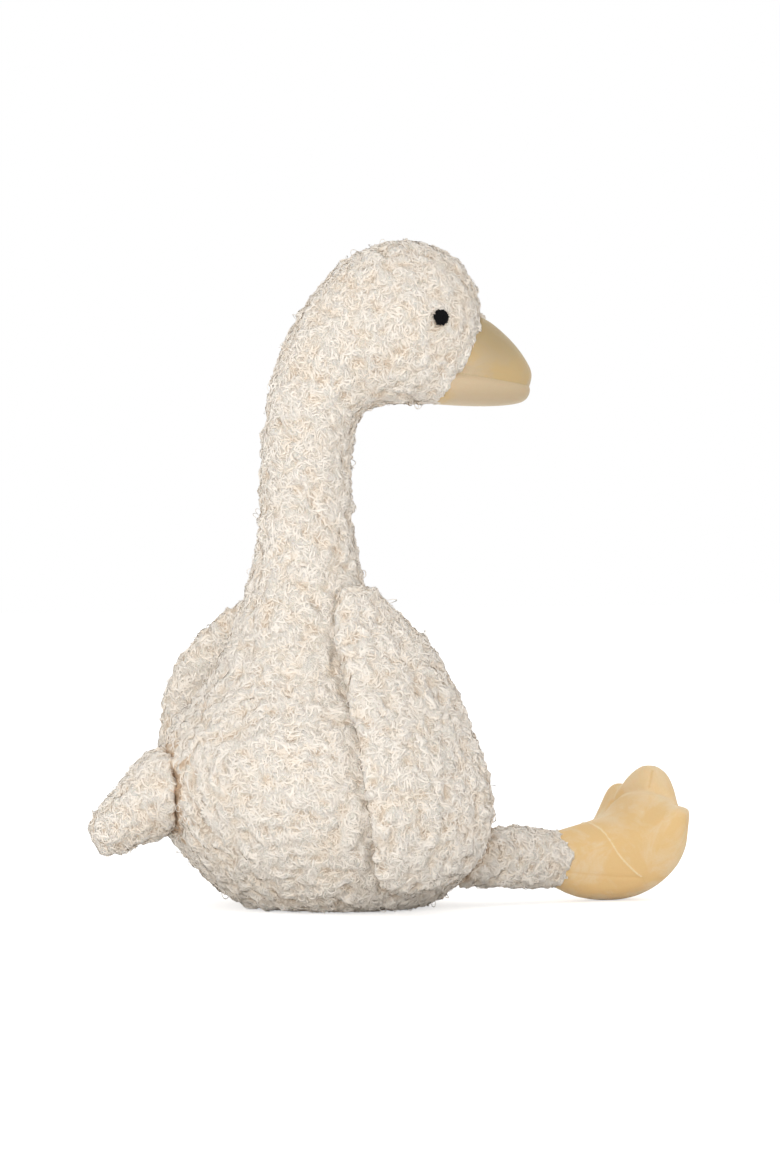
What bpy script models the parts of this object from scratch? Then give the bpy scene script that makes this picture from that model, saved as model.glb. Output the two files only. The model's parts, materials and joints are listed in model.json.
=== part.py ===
"""A seated plush goose: a stuffed body in curly pile, with sewn wings, tail and legs, velvet beak and feet.

Metres, +Z up. The goose faces -Y and its right side is -X. The origin is on the ground, under the torso's
middle. Every soft form is a coarse cage of rings under a Subdivision Surface. What is sewn to the body runs
into it and is then cut by a copy of the body that is larger by the seam's gap, so that each piece sits on the
skin as it is shaped.
"""

import math

import bmesh
import bpy
from mathutils import Vector
from mathutils.bvhtree import BVHTree

SEAM_GAP = 0.0003  # between two pieces that are sewn together

# Torso, a pear on a flat seat
SEAT_RADIUS = 0.043
BELLY_RADIUS = 0.083
TORSO_HEIGHT = 0.160  # up to the root of the neck
SEAT_FORWARD = 0.009  # how far the belly bulges forward of the neck above the seat

# Neck and head
NECK_RADIUS = 0.0225
NECK_BACK = 0.008  # how far the neck stands behind the middle of the seat
THROAT_HEIGHT = 0.2465  # the crease where the chin meets the neck
THROAT_FORWARD = 0.0185
HEAD_REACH = 0.062  # from the throat forward to the root of the beak
HEAD_RISE = 0.0875  # from the throat up to the crown
HEAD_WIDTH = 0.069
HEAD_TURN = math.radians(22)  # the head looks a little to its right

# Beak
BEAK_LENGTH = 0.0385
BEAK_RISE = 0.030  # the upper beak's height at its root
JAW_DROP = 0.0166  # the lower beak's depth under the mouth
BEAK_WIDTH = 0.048
MOUTH_FORWARD = 0.050  # the corner of the mouth, from the throat
MOUTH_RISE = 0.0205

# Eyes, small domes of black stitching
EYE_RADIUS = 0.0042
EYE_THICKNESS = 0.0036
EYE_FORWARD = 0.0365  # from the throat
EYE_RISE = 0.0477

# Wings, flat flippers that hang from the shoulders and lie on the torso
RIGHT_WING_ROOT_HEIGHT = 0.163
LEFT_WING_ROOT_HEIGHT = 0.154
WING_TIP_HEIGHT = 0.011
WING_CHORD = 0.084
WING_THICKNESS = 0.017
RIGHT_WING_SWING = math.radians(8)  # forward of the goose's side
LEFT_WING_SWING = math.radians(-13)
RIGHT_WING_PUFF = 0.007  # how much thicker the wing is at its shoulder
LEFT_WING_PUFF = 0.020
RIGHT_WING_SLANT = math.radians(0)  # how far the lower wing leans forward
LEFT_WING_SLANT = math.radians(7)

# Tail
TAIL_LENGTH = 0.034  # outside the torso
TAIL_DEPTH = 0.044  # top to bottom at its root
TAIL_WIDTH = 0.042
TAIL_HEIGHT = 0.0575
TAIL_DROOP = 0.0245  # how far the tip hangs under the root
TAIL_SIDE = math.radians(14)  # where it is sewn, round from the middle of the back to the left
TAIL_SWEEP = math.radians(38)  # where it points, round from straight back to the left

# Legs and feet
LEG_RADIUS = 0.0128
LEG_SPACING = 0.054  # between the middles of the two legs at the body
HIP_HEIGHT = 0.0285
ANKLE_HEIGHT = 0.0225
LEG_LENGTH = 0.122  # from under the neck out to the ankle's seam
RIGHT_LEG_SPLAY = math.radians(-2)  # outward
LEFT_LEG_SPLAY = math.radians(40)
FOOT_LENGTH = 0.0675  # ankle seam to the sole's front, along the leg
FOOT_HEIGHT = 0.076  # ground to the tip of the middle toe
FOOT_WIDTH = 0.074
TOE_LENGTH = 0.0045  # how far the outer and inner toes stand out of the web
OUTER_TOE_DROP = 0.0205  # how far the outer toe ends under the middle one
INNER_TOE_DROP = 0.0105

# Cage resolution
BODY_SIDES = 16
WING_SIDES = 12
TAIL_SIDES = 10
LEG_SIDES = 12
FOOT_SIDES = 20
BEAK_SIDES = 14
EYE_SIDES = 16
EYE_RINGS = 8

VALLEY = 0.59  # where the webs between the toes lie, as a share of the foot's half width

# The torso's outline: share of its height, share of the belly's radius, and lean forward as a share of the
# seat's
TORSO_OUTLINE = (
    (0.02, 0.57, 1.05),
    (0.07, 0.73, 1.0),
    (0.17, 0.905, 0.9),
    (0.27, 0.985, 0.5),
    (0.38, 1.0, 0.0),
    (0.49, 0.94, -0.3),
    (0.57, 0.84, -0.5),
    (0.65, 0.70, -0.5),
    (0.74, 0.575, -0.5),
    (0.85, 0.46, -0.7),
    (0.95, 0.375, -0.85),
)

# The neck's outline: share of the way from the torso to the throat, and share of the neck's radius
NECK_OUTLINE = ((0.04, 1.20), (0.20, 1.09), (0.42, 1.0), (0.66, 0.965), (0.86, 0.97))

# The head's rings, each from a point underneath to a point on top: forward and up from the throat, as shares
# of the head's reach and rise, and the ring's share of the head's width
HEAD_RINGS = (
    (-0.010, -0.040, -0.726, 0.105, 0.65),
    (0.000, 0.000, -0.670, 0.320, 0.70),
    (0.030, 0.020, -0.540, 0.500, 0.78),
    (0.090, 0.042, -0.365, 0.700, 0.88),
    (0.190, 0.062, -0.130, 0.885, 0.96),
    (0.330, 0.070, 0.190, 1.000, 1.00),
    (0.450, 0.062, 0.600, 0.995, 0.97),
    (0.530, 0.056, 0.890, 0.850, 0.88),
    (0.590, 0.058, 0.995, 0.610, 0.73),
    (0.640, 0.090, 0.990, 0.540, 0.60),
)

# The beak's rings, from a point on the mouth's line to one on the outline: forward and up from the mouth's
# corner, as shares of the beak's length and of its rise or drop, and the ring's share of the beak's width
UPPER_BEAK_RINGS = (
    (-0.26, 0.02, 0.06, 1.02, 0.82),
    (0.00, 0.00, 0.31, 1.00, 1.00),
    (0.27, -0.06, 0.54, 0.77, 0.91),
    (0.54, -0.12, 0.77, 0.48, 0.78),
    (0.77, -0.18, 0.91, 0.20, 0.60),
    (0.92, -0.23, 0.99, -0.02, 0.40),
)
LOWER_BEAK_RINGS = (
    (-0.26, 0.10, -0.55, -0.85, 0.78),
    (0.00, 0.08, -0.33, -0.93, 0.98),
    (0.27, -0.04, 0.00, -0.98, 0.93),
    (0.54, -0.15, 0.37, -1.00, 0.80),
    (0.79, -0.26, 0.72, -0.95, 0.64),
    (0.96, -0.37, 0.93, -0.82, 0.42),
)

# The wing's outline: share of the way from root to tip, share of the chord, share of the puff, and how far
# its middle lies forward, as a share of the chord
WING_OUTLINE = (
    (0.00, 0.24, 0.00, 0.00),
    (0.09, 0.42, 0.60, 0.03),
    (0.19, 0.72, 1.00, 0.07),
    (0.32, 0.85, 1.00, 0.09),
    (0.48, 0.885, 0.30, 0.062),
    (0.62, 0.99, 0.05, 0.035),
    (0.76, 1.00, 0.00, 0.01),
    (0.87, 0.86, 0.00, -0.03),
    (0.95, 0.62, 0.00, -0.09),
    (1.00, 0.32, 0.00, -0.13),
)

# The tail's outline: share of its length, share of its depth and share of its width
TAIL_OUTLINE = (
    (-0.55, 0.92, 1.00),
    (-0.15, 1.00, 1.00),
    (0.22, 0.78, 0.92),
    (0.52, 0.62, 0.82),
    (0.80, 0.56, 0.70),
    (0.97, 0.33, 0.40),
)

# The foot's rings, each from a point on the instep to one on the sole: distance past the ankle's seam and
# height, as shares of the foot's length and height, and the ring's share of the width
FOOT_RINGS = (
    (0.00, 0.470, 0.00, 0.122, 0.36),
    (0.14, 0.495, 0.14, 0.050, 0.375),
    (0.27, 0.515, 0.35, 0.005, 0.45),
    (0.38, 0.530, 0.60, -0.006, 0.58),
    (0.48, 0.545, 0.825, 0.045, 0.76),
    (0.575, 0.578, 0.98, 0.200, 0.91),
    (0.66, 0.640, 1.04, 0.390, 0.98),
    (0.735, 0.730, 1.04, 0.600, 0.99),
    (0.780, 0.855, 1.035, 0.835, 0.965),
    (0.840, 0.935, 0.995, 0.925, 0.88),
)


def clear_scene():
    """Remove whatever the file opened with."""
    for thing in list(bpy.data.objects):
        bpy.data.objects.remove(thing, do_unlink=True)


def new_collection(name):
    """A collection of that name, in the scene."""
    made = bpy.data.collections.new(name)
    bpy.context.scene.collection.children.link(made)
    return made


def cloth(name, colour, roughness):
    """A plain Principled material for a fabric."""
    made = bpy.data.materials.new(name)
    made.use_nodes = True
    shader = made.node_tree.nodes["Principled BSDF"]
    shader.inputs["Base Color"].default_value = (*colour, 1.0)
    shader.inputs["Roughness"].default_value = roughness
    shader.inputs["Metallic"].default_value = 0.0
    return made


def between(rows, where):
    """The row of a table at a value of its first column, read along straight lines."""
    if where <= rows[0][0]:
        return rows[0][1:]
    for low, high in zip(rows, rows[1:]):
        if where <= high[0]:
            share = (where - low[0]) / (high[0] - low[0])
            return tuple(a + (b - a) * share for a, b in zip(low[1:], high[1:]))
    return rows[-1][1:]


def place(forward, right, up, turn=0.0, pivot=0.0):
    """A point from the goose's own directions, turned to its right about the upright line at the pivot."""
    ahead = forward - pivot
    return Vector(
        (
            -ahead * math.sin(turn) - right * math.cos(turn),
            -pivot - ahead * math.cos(turn) + right * math.sin(turn),
            up,
        )
    )


def oval(under, over, half_width, sides, turn=0.0, pivot=0.0, widest=0.5):
    """A ring between two (forward, up) points of the goose's middle plane.

    widest is the height at which the ring is widest, as a share of its own: 0.5 is an ellipse and 0.1 a
    flat-bottomed dome. The ring is a little larger than asked, by as much as the Subdivision Surface draws it
    in.
    """
    fullness = 3.0 / (2.0 + math.cos(math.tau / sides))
    ring = []
    for side in range(sides):
        angle = math.tau * side / sides
        lift = math.sin(angle)
        height = widest + lift * ((1.0 - widest) if lift > 0 else widest)
        height = 0.5 + (height - 0.5) * fullness
        forward = under[0] + (over[0] - under[0]) * height
        up = under[1] + (over[1] - under[1]) * height
        ring.append(place(forward, half_width * math.cos(angle) * fullness, up, turn, pivot))
    return ring


def loft(name, rings, collection, levels=1, sharp_start=False, flat_start=False, sewn_end=False):
    """Skin rings of points into one closed mesh, and smooth it with a Subdivision Surface.

    sharp_start keeps the first ring's edge, as where a sleeve is cut square. flat_start lays two more rings
    inside the first, so that the Subdivision Surface keeps that end flat. sewn_end closes the last ring
    straight across, like the edge of two layers that are sewn together.
    """
    form = bmesh.new()
    if flat_start:
        middle = sum(rings[0], Vector()) / len(rings[0])
        inner = [[middle + (point - middle) * share for point in rings[0]] for share in (0.35, 0.72)]
        rings = [*inner, *rings]
    loops = [[form.verts.new(point) for point in ring] for ring in rings]
    sides = len(loops[0])
    for lower, upper in zip(loops, loops[1:]):
        for side in range(sides):
            after = (side + 1) % sides
            form.faces.new((lower[side], lower[after], upper[after], upper[side]))
    start_cap = form.faces.new(loops[0][::-1])
    if sewn_end:
        last = loops[-1] + [loops[-1][0]]
        for side in range(sides // 2):
            corners = (last[side], last[side + 1], last[sides - side - 1], last[sides - side])
            form.faces.new(tuple(dict.fromkeys(corners)))
    else:
        form.faces.new(loops[-1])
    bmesh.ops.recalc_face_normals(form, faces=form.faces[:])
    if sharp_start:
        crease = form.edges.layers.float.new("crease_edge")
        for edge in start_cap.edges:
            edge[crease] = 1.0
    mesh = bpy.data.meshes.new(name)
    form.to_mesh(mesh)
    form.free()
    made = bpy.data.objects.new(name, mesh)
    collection.objects.link(made)
    smooth = made.modifiers.new("Rounding", "SUBSURF")
    smooth.levels = levels
    smooth.render_levels = levels
    mesh.shade_smooth()
    return made


def larger_copy(original, collection):
    """A hidden copy of a piece, larger by the seam's gap, to cut its neighbours with."""
    made = original.copy()
    made.name = original.name + "_cutter"
    collection.objects.link(made)
    grow = made.modifiers.new("Seam gap", "DISPLACE")
    grow.strength = SEAM_GAP
    grow.mid_level = 0.0
    made.display_type = "WIRE"
    made.hide_render = True
    return made


def cut(piece, cutter):
    """Cut a piece where it runs into its neighbour."""
    seat = piece.modifiers.new("Seat on " + cutter.name, "BOOLEAN")
    seat.operation = "DIFFERENCE"
    seat.solver = "EXACT"
    seat.object = cutter


def torso_at(height):
    """The torso's radius and the forward place of its middle at a height."""
    radius, lean = between(TORSO_OUTLINE, height / TORSO_HEIGHT)
    return radius * BELLY_RADIUS, lean * SEAT_FORWARD


def neck_turn(height):
    """How far the neck has turned at a height: none at its root, and the head's full turn at the throat."""
    share = (height - TORSO_HEIGHT) / (THROAT_HEIGHT - TORSO_HEIGHT)
    share = min(1.0, max(0.0, share))
    return HEAD_TURN * share * share * (3.0 - 2.0 * share)


def build_body(collection):
    """Torso, neck and head, which are sewn as one stuffed skin."""
    seat = [place(SEAT_FORWARD + SEAT_RADIUS * math.sin(angle), SEAT_RADIUS * math.cos(angle), 0.0)
            for angle in (math.tau * side / BODY_SIDES for side in range(BODY_SIDES))]
    rings = []
    for share, radius, lean in TORSO_OUTLINE:
        middle, height = lean * SEAT_FORWARD, share * TORSO_HEIGHT
        reach = radius * BELLY_RADIUS
        rings.append(oval((middle - reach, height), (middle + reach, height), reach, BODY_SIDES))
    for share, radius in NECK_OUTLINE:
        height = TORSO_HEIGHT + share * (THROAT_HEIGHT - TORSO_HEIGHT)
        reach = radius * NECK_RADIUS
        rings.append(oval((-NECK_BACK - reach, height), (-NECK_BACK + reach, height), reach, BODY_SIDES,
                          neck_turn(height), -NECK_BACK))
    for under_forward, under_up, over_forward, over_up, width in HEAD_RINGS:
        under = (THROAT_FORWARD + under_forward * HEAD_REACH, THROAT_HEIGHT + under_up * HEAD_RISE)
        over = (THROAT_FORWARD + over_forward * HEAD_REACH, THROAT_HEIGHT + over_up * HEAD_RISE)
        # The rings run from the nape over to the throat, like those of the neck.
        half_width = width * HEAD_WIDTH / 2
        rings.append(oval(over, under, half_width, BODY_SIDES, HEAD_TURN, -NECK_BACK, widest=0.54))
    return loft("body", [seat, *rings], collection, flat_start=True)


def build_beak(name, table, drop, widest, collection):
    """Half of the beak, lofted from inside the head out to its tip."""
    corner = (THROAT_FORWARD + MOUTH_FORWARD, THROAT_HEIGHT + MOUTH_RISE)
    rings = []
    for mouth_forward, mouth_up, edge_forward, edge_up, width in table:
        mouth = (corner[0] + mouth_forward * BEAK_LENGTH, corner[1] + mouth_up * drop)
        edge = (corner[0] + edge_forward * BEAK_LENGTH, corner[1] + edge_up * drop)
        rings.append(oval(mouth, edge, width * BEAK_WIDTH / 2, BEAK_SIDES, HEAD_TURN, -NECK_BACK, widest))
    return loft(name, rings, collection)


def build_eye(name, side, body, collection):
    """A dome of stitching where a line out of the head's middle meets its skin; side is 1 on the right."""
    graph = bpy.context.evaluated_depsgraph_get()
    skin = BVHTree.FromObject(body, graph)
    middle = place(THROAT_FORWARD + EYE_FORWARD, 0.0, THROAT_HEIGHT + EYE_RISE, HEAD_TURN, -NECK_BACK)
    outward = place(0.0, side, 0.0, HEAD_TURN) - place(0.0, 0.0, 0.0, HEAD_TURN)
    seat, normal, _, _ = skin.ray_cast(middle, outward)
    form = bmesh.new()
    bmesh.ops.create_uvsphere(form, u_segments=EYE_SIDES, v_segments=EYE_RINGS, radius=EYE_RADIUS)
    bmesh.ops.scale(form, vec=(1.0, 1.0, EYE_THICKNESS / EYE_RADIUS), verts=form.verts[:])
    mesh = bpy.data.meshes.new(name)
    form.to_mesh(mesh)
    form.free()
    mesh.shade_smooth()
    made = bpy.data.objects.new(name, mesh)
    made.location = seat
    made.rotation_mode = "QUATERNION"
    made.rotation_quaternion = normal.to_track_quat("Z", "Y")
    collection.objects.link(made)
    return made


def build_wing(name, side, root_height, swing, puff, slant, collection):
    """A flipper that hangs along the torso; side is 1 on the right, swing its angle forward of the side."""
    rings = []
    drop = root_height - WING_TIP_HEIGHT
    fullness = 3.0 / (2.0 + math.cos(math.tau / WING_SIDES))
    for share, chord, puffed, sweep in WING_OUTLINE:
        height = root_height - share * drop
        radius, middle = torso_at(height)
        reach = radius + WING_THICKNESS * 0.42 + puffed * puff
        outer = WING_THICKNESS / 2 * (0.55 + 0.45 * chord)
        lean = max(0.0, share - 0.35) * drop * math.tan(slant)
        ring = []
        for step in range(WING_SIDES):
            angle = math.tau * step / WING_SIDES
            across = (math.cos(angle) * chord / 2 * fullness + sweep) * WING_CHORD
            thickness = outer if math.sin(angle) > 0 else outer + puffed * puff
            out = reach + math.sin(angle) * thickness * fullness - across * across / (7.0 * BELLY_RADIUS)
            forward = middle + lean + out * math.sin(swing) + across * math.cos(swing)
            right = out * math.cos(swing) - across * math.sin(swing)
            ring.append(place(forward, side * right, height))
        rings.append(ring)
    return loft(name, rings, collection)


def build_tail(collection):
    """A blunt tail that leaves the back and hangs to the left."""
    radius, middle = torso_at(TAIL_HEIGHT)
    root = place(middle - radius * math.cos(TAIL_SIDE), -radius * math.sin(TAIL_SIDE), TAIL_HEIGHT)
    along = place(-math.cos(TAIL_SWEEP), -math.sin(TAIL_SWEEP), 0.0)
    across = Vector((-along.y, along.x, 0.0))
    fullness = 3.0 / (2.0 + math.cos(math.tau / TAIL_SIDES))
    rings = []
    for share, depth, width in TAIL_OUTLINE:
        centre = root + along * (share * TAIL_LENGTH) - Vector((0.0, 0.0, share * TAIL_DROOP))
        slope = Vector((along.x * TAIL_DROOP, along.y * TAIL_DROOP, TAIL_LENGTH)).normalized()
        rings.append([
            centre
            + across * (math.cos(angle) * width * TAIL_WIDTH / 2 * fullness)
            + slope * (math.sin(angle) * depth * TAIL_DEPTH / 2 * fullness)
            for angle in (math.tau * step / TAIL_SIDES for step in range(TAIL_SIDES))
        ])
    return loft("tail", rings, collection)


class LegLine:
    """The straight middle line of one leg, and the directions of the foot at its end."""

    def __init__(self, side, splay):
        self.ahead = place(math.cos(splay), side * math.sin(splay), 0.0)
        self.out = place(-math.sin(splay), side * math.cos(splay), 0.0)
        self.hip = place(0.0, side * LEG_SPACING / 2, HIP_HEIGHT)
        self.length = LEG_LENGTH
        self.ankle = self.at(self.length)

    def at(self, distance):
        """A point on the line, at a distance out from under the neck."""
        fall = (HIP_HEIGHT - ANKLE_HEIGHT) * distance / self.length
        return self.hip + self.ahead * distance - Vector((0.0, 0.0, fall))


def build_leg(name, line, collection):
    """A short stuffed tube from inside the torso to the ankle's seam."""
    fullness = 3.0 / (2.0 + math.cos(math.tau / LEG_SIDES))
    radius, middle = torso_at(HIP_HEIGHT)
    start = 0.72 * (radius + middle)
    rings = []
    for share, size in ((0.0, 1.0), (0.30, 1.08), (0.65, 0.96), (1.0, 1.10), (1.3, 1.28)):
        distance = line.length - SEAM_GAP - (line.length - start) * share
        rings.append([
            line.at(distance)
            + line.out * (math.cos(angle) * size * LEG_RADIUS * fullness)
            + Vector((0.0, 0.0, math.sin(angle) * size * LEG_RADIUS * fullness))
            for angle in (math.tau * step / LEG_SIDES for step in range(LEG_SIDES))
        ])
    return loft(name, rings, collection, sharp_start=True)


def toe_drop(across):
    """How far the foot's edge lies under its middle toe's tip, at a place from -1, inner, to 1, outer."""
    side_drop = OUTER_TOE_DROP if across > 0 else INNER_TOE_DROP
    reach = abs(across)
    slope = min(1.0, reach / VALLEY) ** 1.6
    return side_drop * slope + TOE_LENGTH * (valley(across) + max(0.0, (reach - 0.8) / 0.2) ** 2)


def valley(across):
    """1 in the valley between two toes and 0 along a toe."""
    return math.exp(-(((abs(across) - VALLEY) / 0.15) ** 2))


def build_foot(name, line, collection):
    """A webbed foot that turns up at the end of the leg, with three stuffed toes."""
    fullness = 3.0 / (2.0 + math.cos(math.tau / FOOT_SIDES))
    rings = []
    for index, (instep_x, instep_up, sole_x, sole_up, width) in enumerate(FOOT_RINGS):
        instep = Vector((instep_x * FOOT_LENGTH, instep_up * FOOT_HEIGHT))
        sole = Vector((sole_x * FOOT_LENGTH, sole_up * FOOT_HEIGHT))
        middle, half = (instep + sole) / 2, (instep - sole) / 2 * fullness
        along = Vector((half.y, -half.x)).normalized()
        spread = max(0.0, index / (len(FOOT_RINGS) - 1) - 0.35) / 0.65
        fullest = min(1.0, max(0.0, index - 2.0) / 2.0)
        ring = []
        for step in range(FOOT_SIDES):
            angle = math.tau * step / FOOT_SIDES
            across, lift = math.cos(angle), math.sin(angle)
            plump = math.copysign(abs(lift) ** (1.0 - 0.38 * fullest), lift) if abs(lift) > 0.01 else 0.0
            thin = 1.0 - 0.42 * valley(across) * spread
            spot = middle - along * (spread ** 2 * toe_drop(across)) + half * (plump * thin)
            ring.append(
                line.ankle
                + line.ahead * spot.x
                + line.out * (across * width * FOOT_WIDTH / 2 * fullness)
                + Vector((0.0, 0.0, spot.y - line.ankle.z))
            )
        rings.append(ring)
    return loft(name, rings, collection, sharp_start=True, sewn_end=True)


def main():
    """Build the goose, seat every sewn piece on the body, and give each its fabric."""
    clear_scene()
    goose = new_collection("plush_goose")
    cutters = new_collection("cutters")
    cutters.hide_render = True

    pile = cloth("curly_pile", (0.82, 0.76, 0.67), 0.95)
    velvet = cloth("yellow_velvet", (0.83, 0.60, 0.28), 0.9)
    stitching = cloth("black_stitching", (0.012, 0.012, 0.014), 0.7)

    body = build_body(goose)
    skin = larger_copy(body, cutters)

    upper = build_beak("upper_beak", UPPER_BEAK_RINGS, BEAK_RISE, 0.16, goose)
    lower = build_beak("lower_beak", LOWER_BEAK_RINGS, JAW_DROP, 0.22, goose)
    cut(lower, larger_copy(upper, cutters))

    sewn = [upper, lower, build_tail(goose)]
    velvety = [upper, lower]
    right_wing = (RIGHT_WING_ROOT_HEIGHT, RIGHT_WING_SWING, RIGHT_WING_PUFF, RIGHT_WING_SLANT)
    left_wing = (LEFT_WING_ROOT_HEIGHT, LEFT_WING_SWING, LEFT_WING_PUFF, LEFT_WING_SLANT)
    for word, side, wing, splay in (
        ("right", 1.0, right_wing, RIGHT_LEG_SPLAY),
        ("left", -1.0, left_wing, LEFT_LEG_SPLAY),
    ):
        line = LegLine(side, splay)
        eye = build_eye(word + "_eye", side, body, goose)
        eye.data.materials.append(stitching)
        sewn += [eye, build_wing(word + "_wing", side, *wing, goose), build_leg(word + "_leg", line, goose)]
        velvety.append(build_foot(word + "_foot", line, goose))

    for piece in sewn:
        cut(piece, skin)
    for piece in velvety:
        piece.data.materials.append(velvet)
    for piece in goose.objects:
        if not piece.data.materials:
            piece.data.materials.append(pile)


main()
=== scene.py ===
"""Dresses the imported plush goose: curly pile over a stuffed skin, a velvet beak and feet, and stitched eyes.

Metres, +Z up. The goose faces -Y and its right side is -X. Each stuffed piece starts from its solid, is
filled by a short cloth simulation, and is then given its pile, its seams and its finish.
"""

import json
import logging
import math
from dataclasses import dataclass, field
from enum import Enum
from typing import Callable, Iterable, Sequence

import bmesh
import bpy
import numpy as np
from mathutils import Matrix, Vector
from mathutils.bvhtree import BVHTree
from mathutils.kdtree import KDTree

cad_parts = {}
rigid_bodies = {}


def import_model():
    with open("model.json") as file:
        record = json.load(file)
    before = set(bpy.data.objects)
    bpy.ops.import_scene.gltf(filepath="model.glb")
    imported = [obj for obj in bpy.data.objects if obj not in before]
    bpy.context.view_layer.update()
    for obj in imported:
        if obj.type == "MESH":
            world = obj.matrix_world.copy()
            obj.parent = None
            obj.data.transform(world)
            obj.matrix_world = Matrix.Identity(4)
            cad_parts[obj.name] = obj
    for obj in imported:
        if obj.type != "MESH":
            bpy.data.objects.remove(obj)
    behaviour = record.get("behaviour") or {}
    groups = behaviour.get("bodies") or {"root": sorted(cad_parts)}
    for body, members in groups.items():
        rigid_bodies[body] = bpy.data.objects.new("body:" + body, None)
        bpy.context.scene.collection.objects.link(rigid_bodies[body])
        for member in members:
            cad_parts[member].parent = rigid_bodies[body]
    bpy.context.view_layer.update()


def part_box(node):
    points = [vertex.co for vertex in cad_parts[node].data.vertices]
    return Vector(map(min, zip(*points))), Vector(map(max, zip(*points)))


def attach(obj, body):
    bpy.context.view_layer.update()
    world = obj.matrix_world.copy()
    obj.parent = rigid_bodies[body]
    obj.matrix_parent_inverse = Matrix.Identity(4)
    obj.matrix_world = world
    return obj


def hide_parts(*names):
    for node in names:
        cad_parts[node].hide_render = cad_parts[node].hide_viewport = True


LOG = logging.getLogger("plush_goose")
ROOT = "root"
MILLI = 0.001


class Side(Enum):
    """The goose's own right and left."""

    RIGHT = 1
    LEFT = -1

    @property
    def word(self) -> str:
        """The side's name, as the solids spell it."""
        return self.name.lower()


class Slot(Enum):
    """The record's material slots."""

    PILE = "curly_pile"
    VELVET = "yellow_velvet"
    THREAD = "black_stitching"


def place(forward: float, right: float, up: float) -> Vector:
    """A point or direction given in the goose's own directions.

    Args:
        forward: distance towards the goose's front.
        right: distance towards its right.
        up: height.

    Returns:
        The same in the world's directions.
    """
    return Vector((-right, -forward, up))


# Finishes


class NodeSheet:
    """A material's node tree, with short ways to add and join nodes."""

    def __init__(self, name: str) -> None:
        """Start a material whose only shader is a Principled one."""
        self.material = bpy.data.materials.new(name)
        self.material.use_nodes = True
        self.tree = self.material.node_tree
        self.shader = self.tree.nodes["Principled BSDF"]

    def add(self, kind: str, **settings: object) -> bpy.types.Node:
        """Add a node.

        Args:
            kind: the node's type name without its ShaderNode prefix.
            settings: properties by name, or inputs by name with spaces written as underscores.

        Returns:
            The new node.
        """
        node = self.tree.nodes.new("ShaderNode" + kind)
        for name, value in settings.items():
            if hasattr(node, name):
                setattr(node, name, value)
            else:
                node.inputs[name.replace("_", " ")].default_value = value
        return node

    def join(self, output: bpy.types.NodeSocket, target: bpy.types.NodeSocket) -> None:
        """Link an output to an input."""
        self.tree.links.new(output, target)

    def mix(self, share: object, low: object, high: object, blend: str = "MIX") -> bpy.types.NodeSocket:
        """Mix two colours.

        Args:
            share: a socket or a number.
            low: the colour at 0, as a socket or a linear RGB triple.
            high: the colour at 1.
            blend: the blend mode.

        Returns:
            The mixed colour's socket.
        """
        node = self.add("Mix", data_type="RGBA", blend_type=blend)
        for socket, value in ((node.inputs[0], share), (node.inputs[6], low), (node.inputs[7], high)):
            if isinstance(value, bpy.types.NodeSocket):
                self.join(value, socket)
            elif isinstance(value, (int, float)):
                socket.default_value = value
            else:
                socket.default_value = (*value, 1.0)
        return node.outputs[2]

    def attribute(self, name: str) -> bpy.types.Node:
        """Read a named attribute of the mesh."""
        return self.add("Attribute", attribute_name=name)

    def spread(self, source: bpy.types.NodeSocket, low: float, high: float) -> bpy.types.NodeSocket:
        """Stretch a value so that low becomes 0 and high becomes 1, and clamp it there."""
        node = self.add("MapRange", From_Min=low, From_Max=high)
        self.join(source, node.inputs["Value"])
        return node.outputs["Result"]

    def relief(self, height: bpy.types.NodeSocket, strength: float, depth: float) -> None:
        """Bump the shader's normal by a height that is worth depth metres at 1."""
        bump = self.add("Bump", Strength=strength, Distance=depth)
        self.join(height, bump.inputs["Height"])
        self.join(bump.outputs["Normal"], self.shader.inputs["Normal"])

    def set(self, **values: object) -> None:
        """Set the shader's own sockets, by name with spaces written as underscores."""
        for name, value in values.items():
            self.shader.inputs[name.replace("_", " ")].default_value = value


@dataclass(frozen=True)
class PileFinish:
    """Cream wool-like pile: light tufts, with warm painted shade in their crevices and along seams."""

    tip: tuple[float, float, float] = (0.95, 0.87, 0.77)
    cool_tip: tuple[float, float, float] = (0.93, 0.868, 0.785)
    # shaded and base are painted shade: shaded low on the tufts, the warmer, darker base in crevices and at
    # seams.
    shaded: tuple[float, float, float] = (0.92, 0.80, 0.66)
    base: tuple[float, float, float] = (0.65, 0.45, 0.285)

    def build(self, name: str, strands: bool) -> bpy.types.Material:
        """Make the material.

        Args:
            name: the material's name.
            strands: True for the strands and loops, and False for the skin under them.

        Returns:
            The material.
        """
        sheet = NodeSheet(name)
        # rise holds painted shade: 0 in crevices and at seams with neighbours, 1 on the tufts.
        height = sheet.attribute("rise").outputs["Fac"]
        tone = sheet.attribute("tone").outputs["Fac"]
        lit = sheet.mix(tone, self.cool_tip, self.tip)
        # Painted shade: low on a tuft the colour turns to shaded, and in crevices and at seams to base.
        colour = sheet.mix(sheet.spread(height, 0.25, 0.85), self.shaded, lit)
        colour = sheet.mix(sheet.spread(height, 0.0, 0.34), self.base, colour)
        sheet.join(colour, sheet.shader.inputs["Base Color"])
        sheet.set(Roughness=1.0, Specular_IOR_Level=0.0, Sheen_Weight=0.08, Sheen_Roughness=0.7)
        if not strands:
            here = sheet.add("TexCoord").outputs["Object"]
            grain = sheet.add("TexNoise", Scale=480.0, Detail=3.0, Roughness=0.62, Distortion=2.0)
            sheet.join(here, grain.inputs["Vector"])
            sheet.relief(grain.outputs["Fac"], 0.9, 0.0022)
            sheet.set(Subsurface_Weight=0.15, Subsurface_Scale=0.002, Subsurface_Radius=(1.0, 0.8, 0.62))
        return sheet.material


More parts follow.
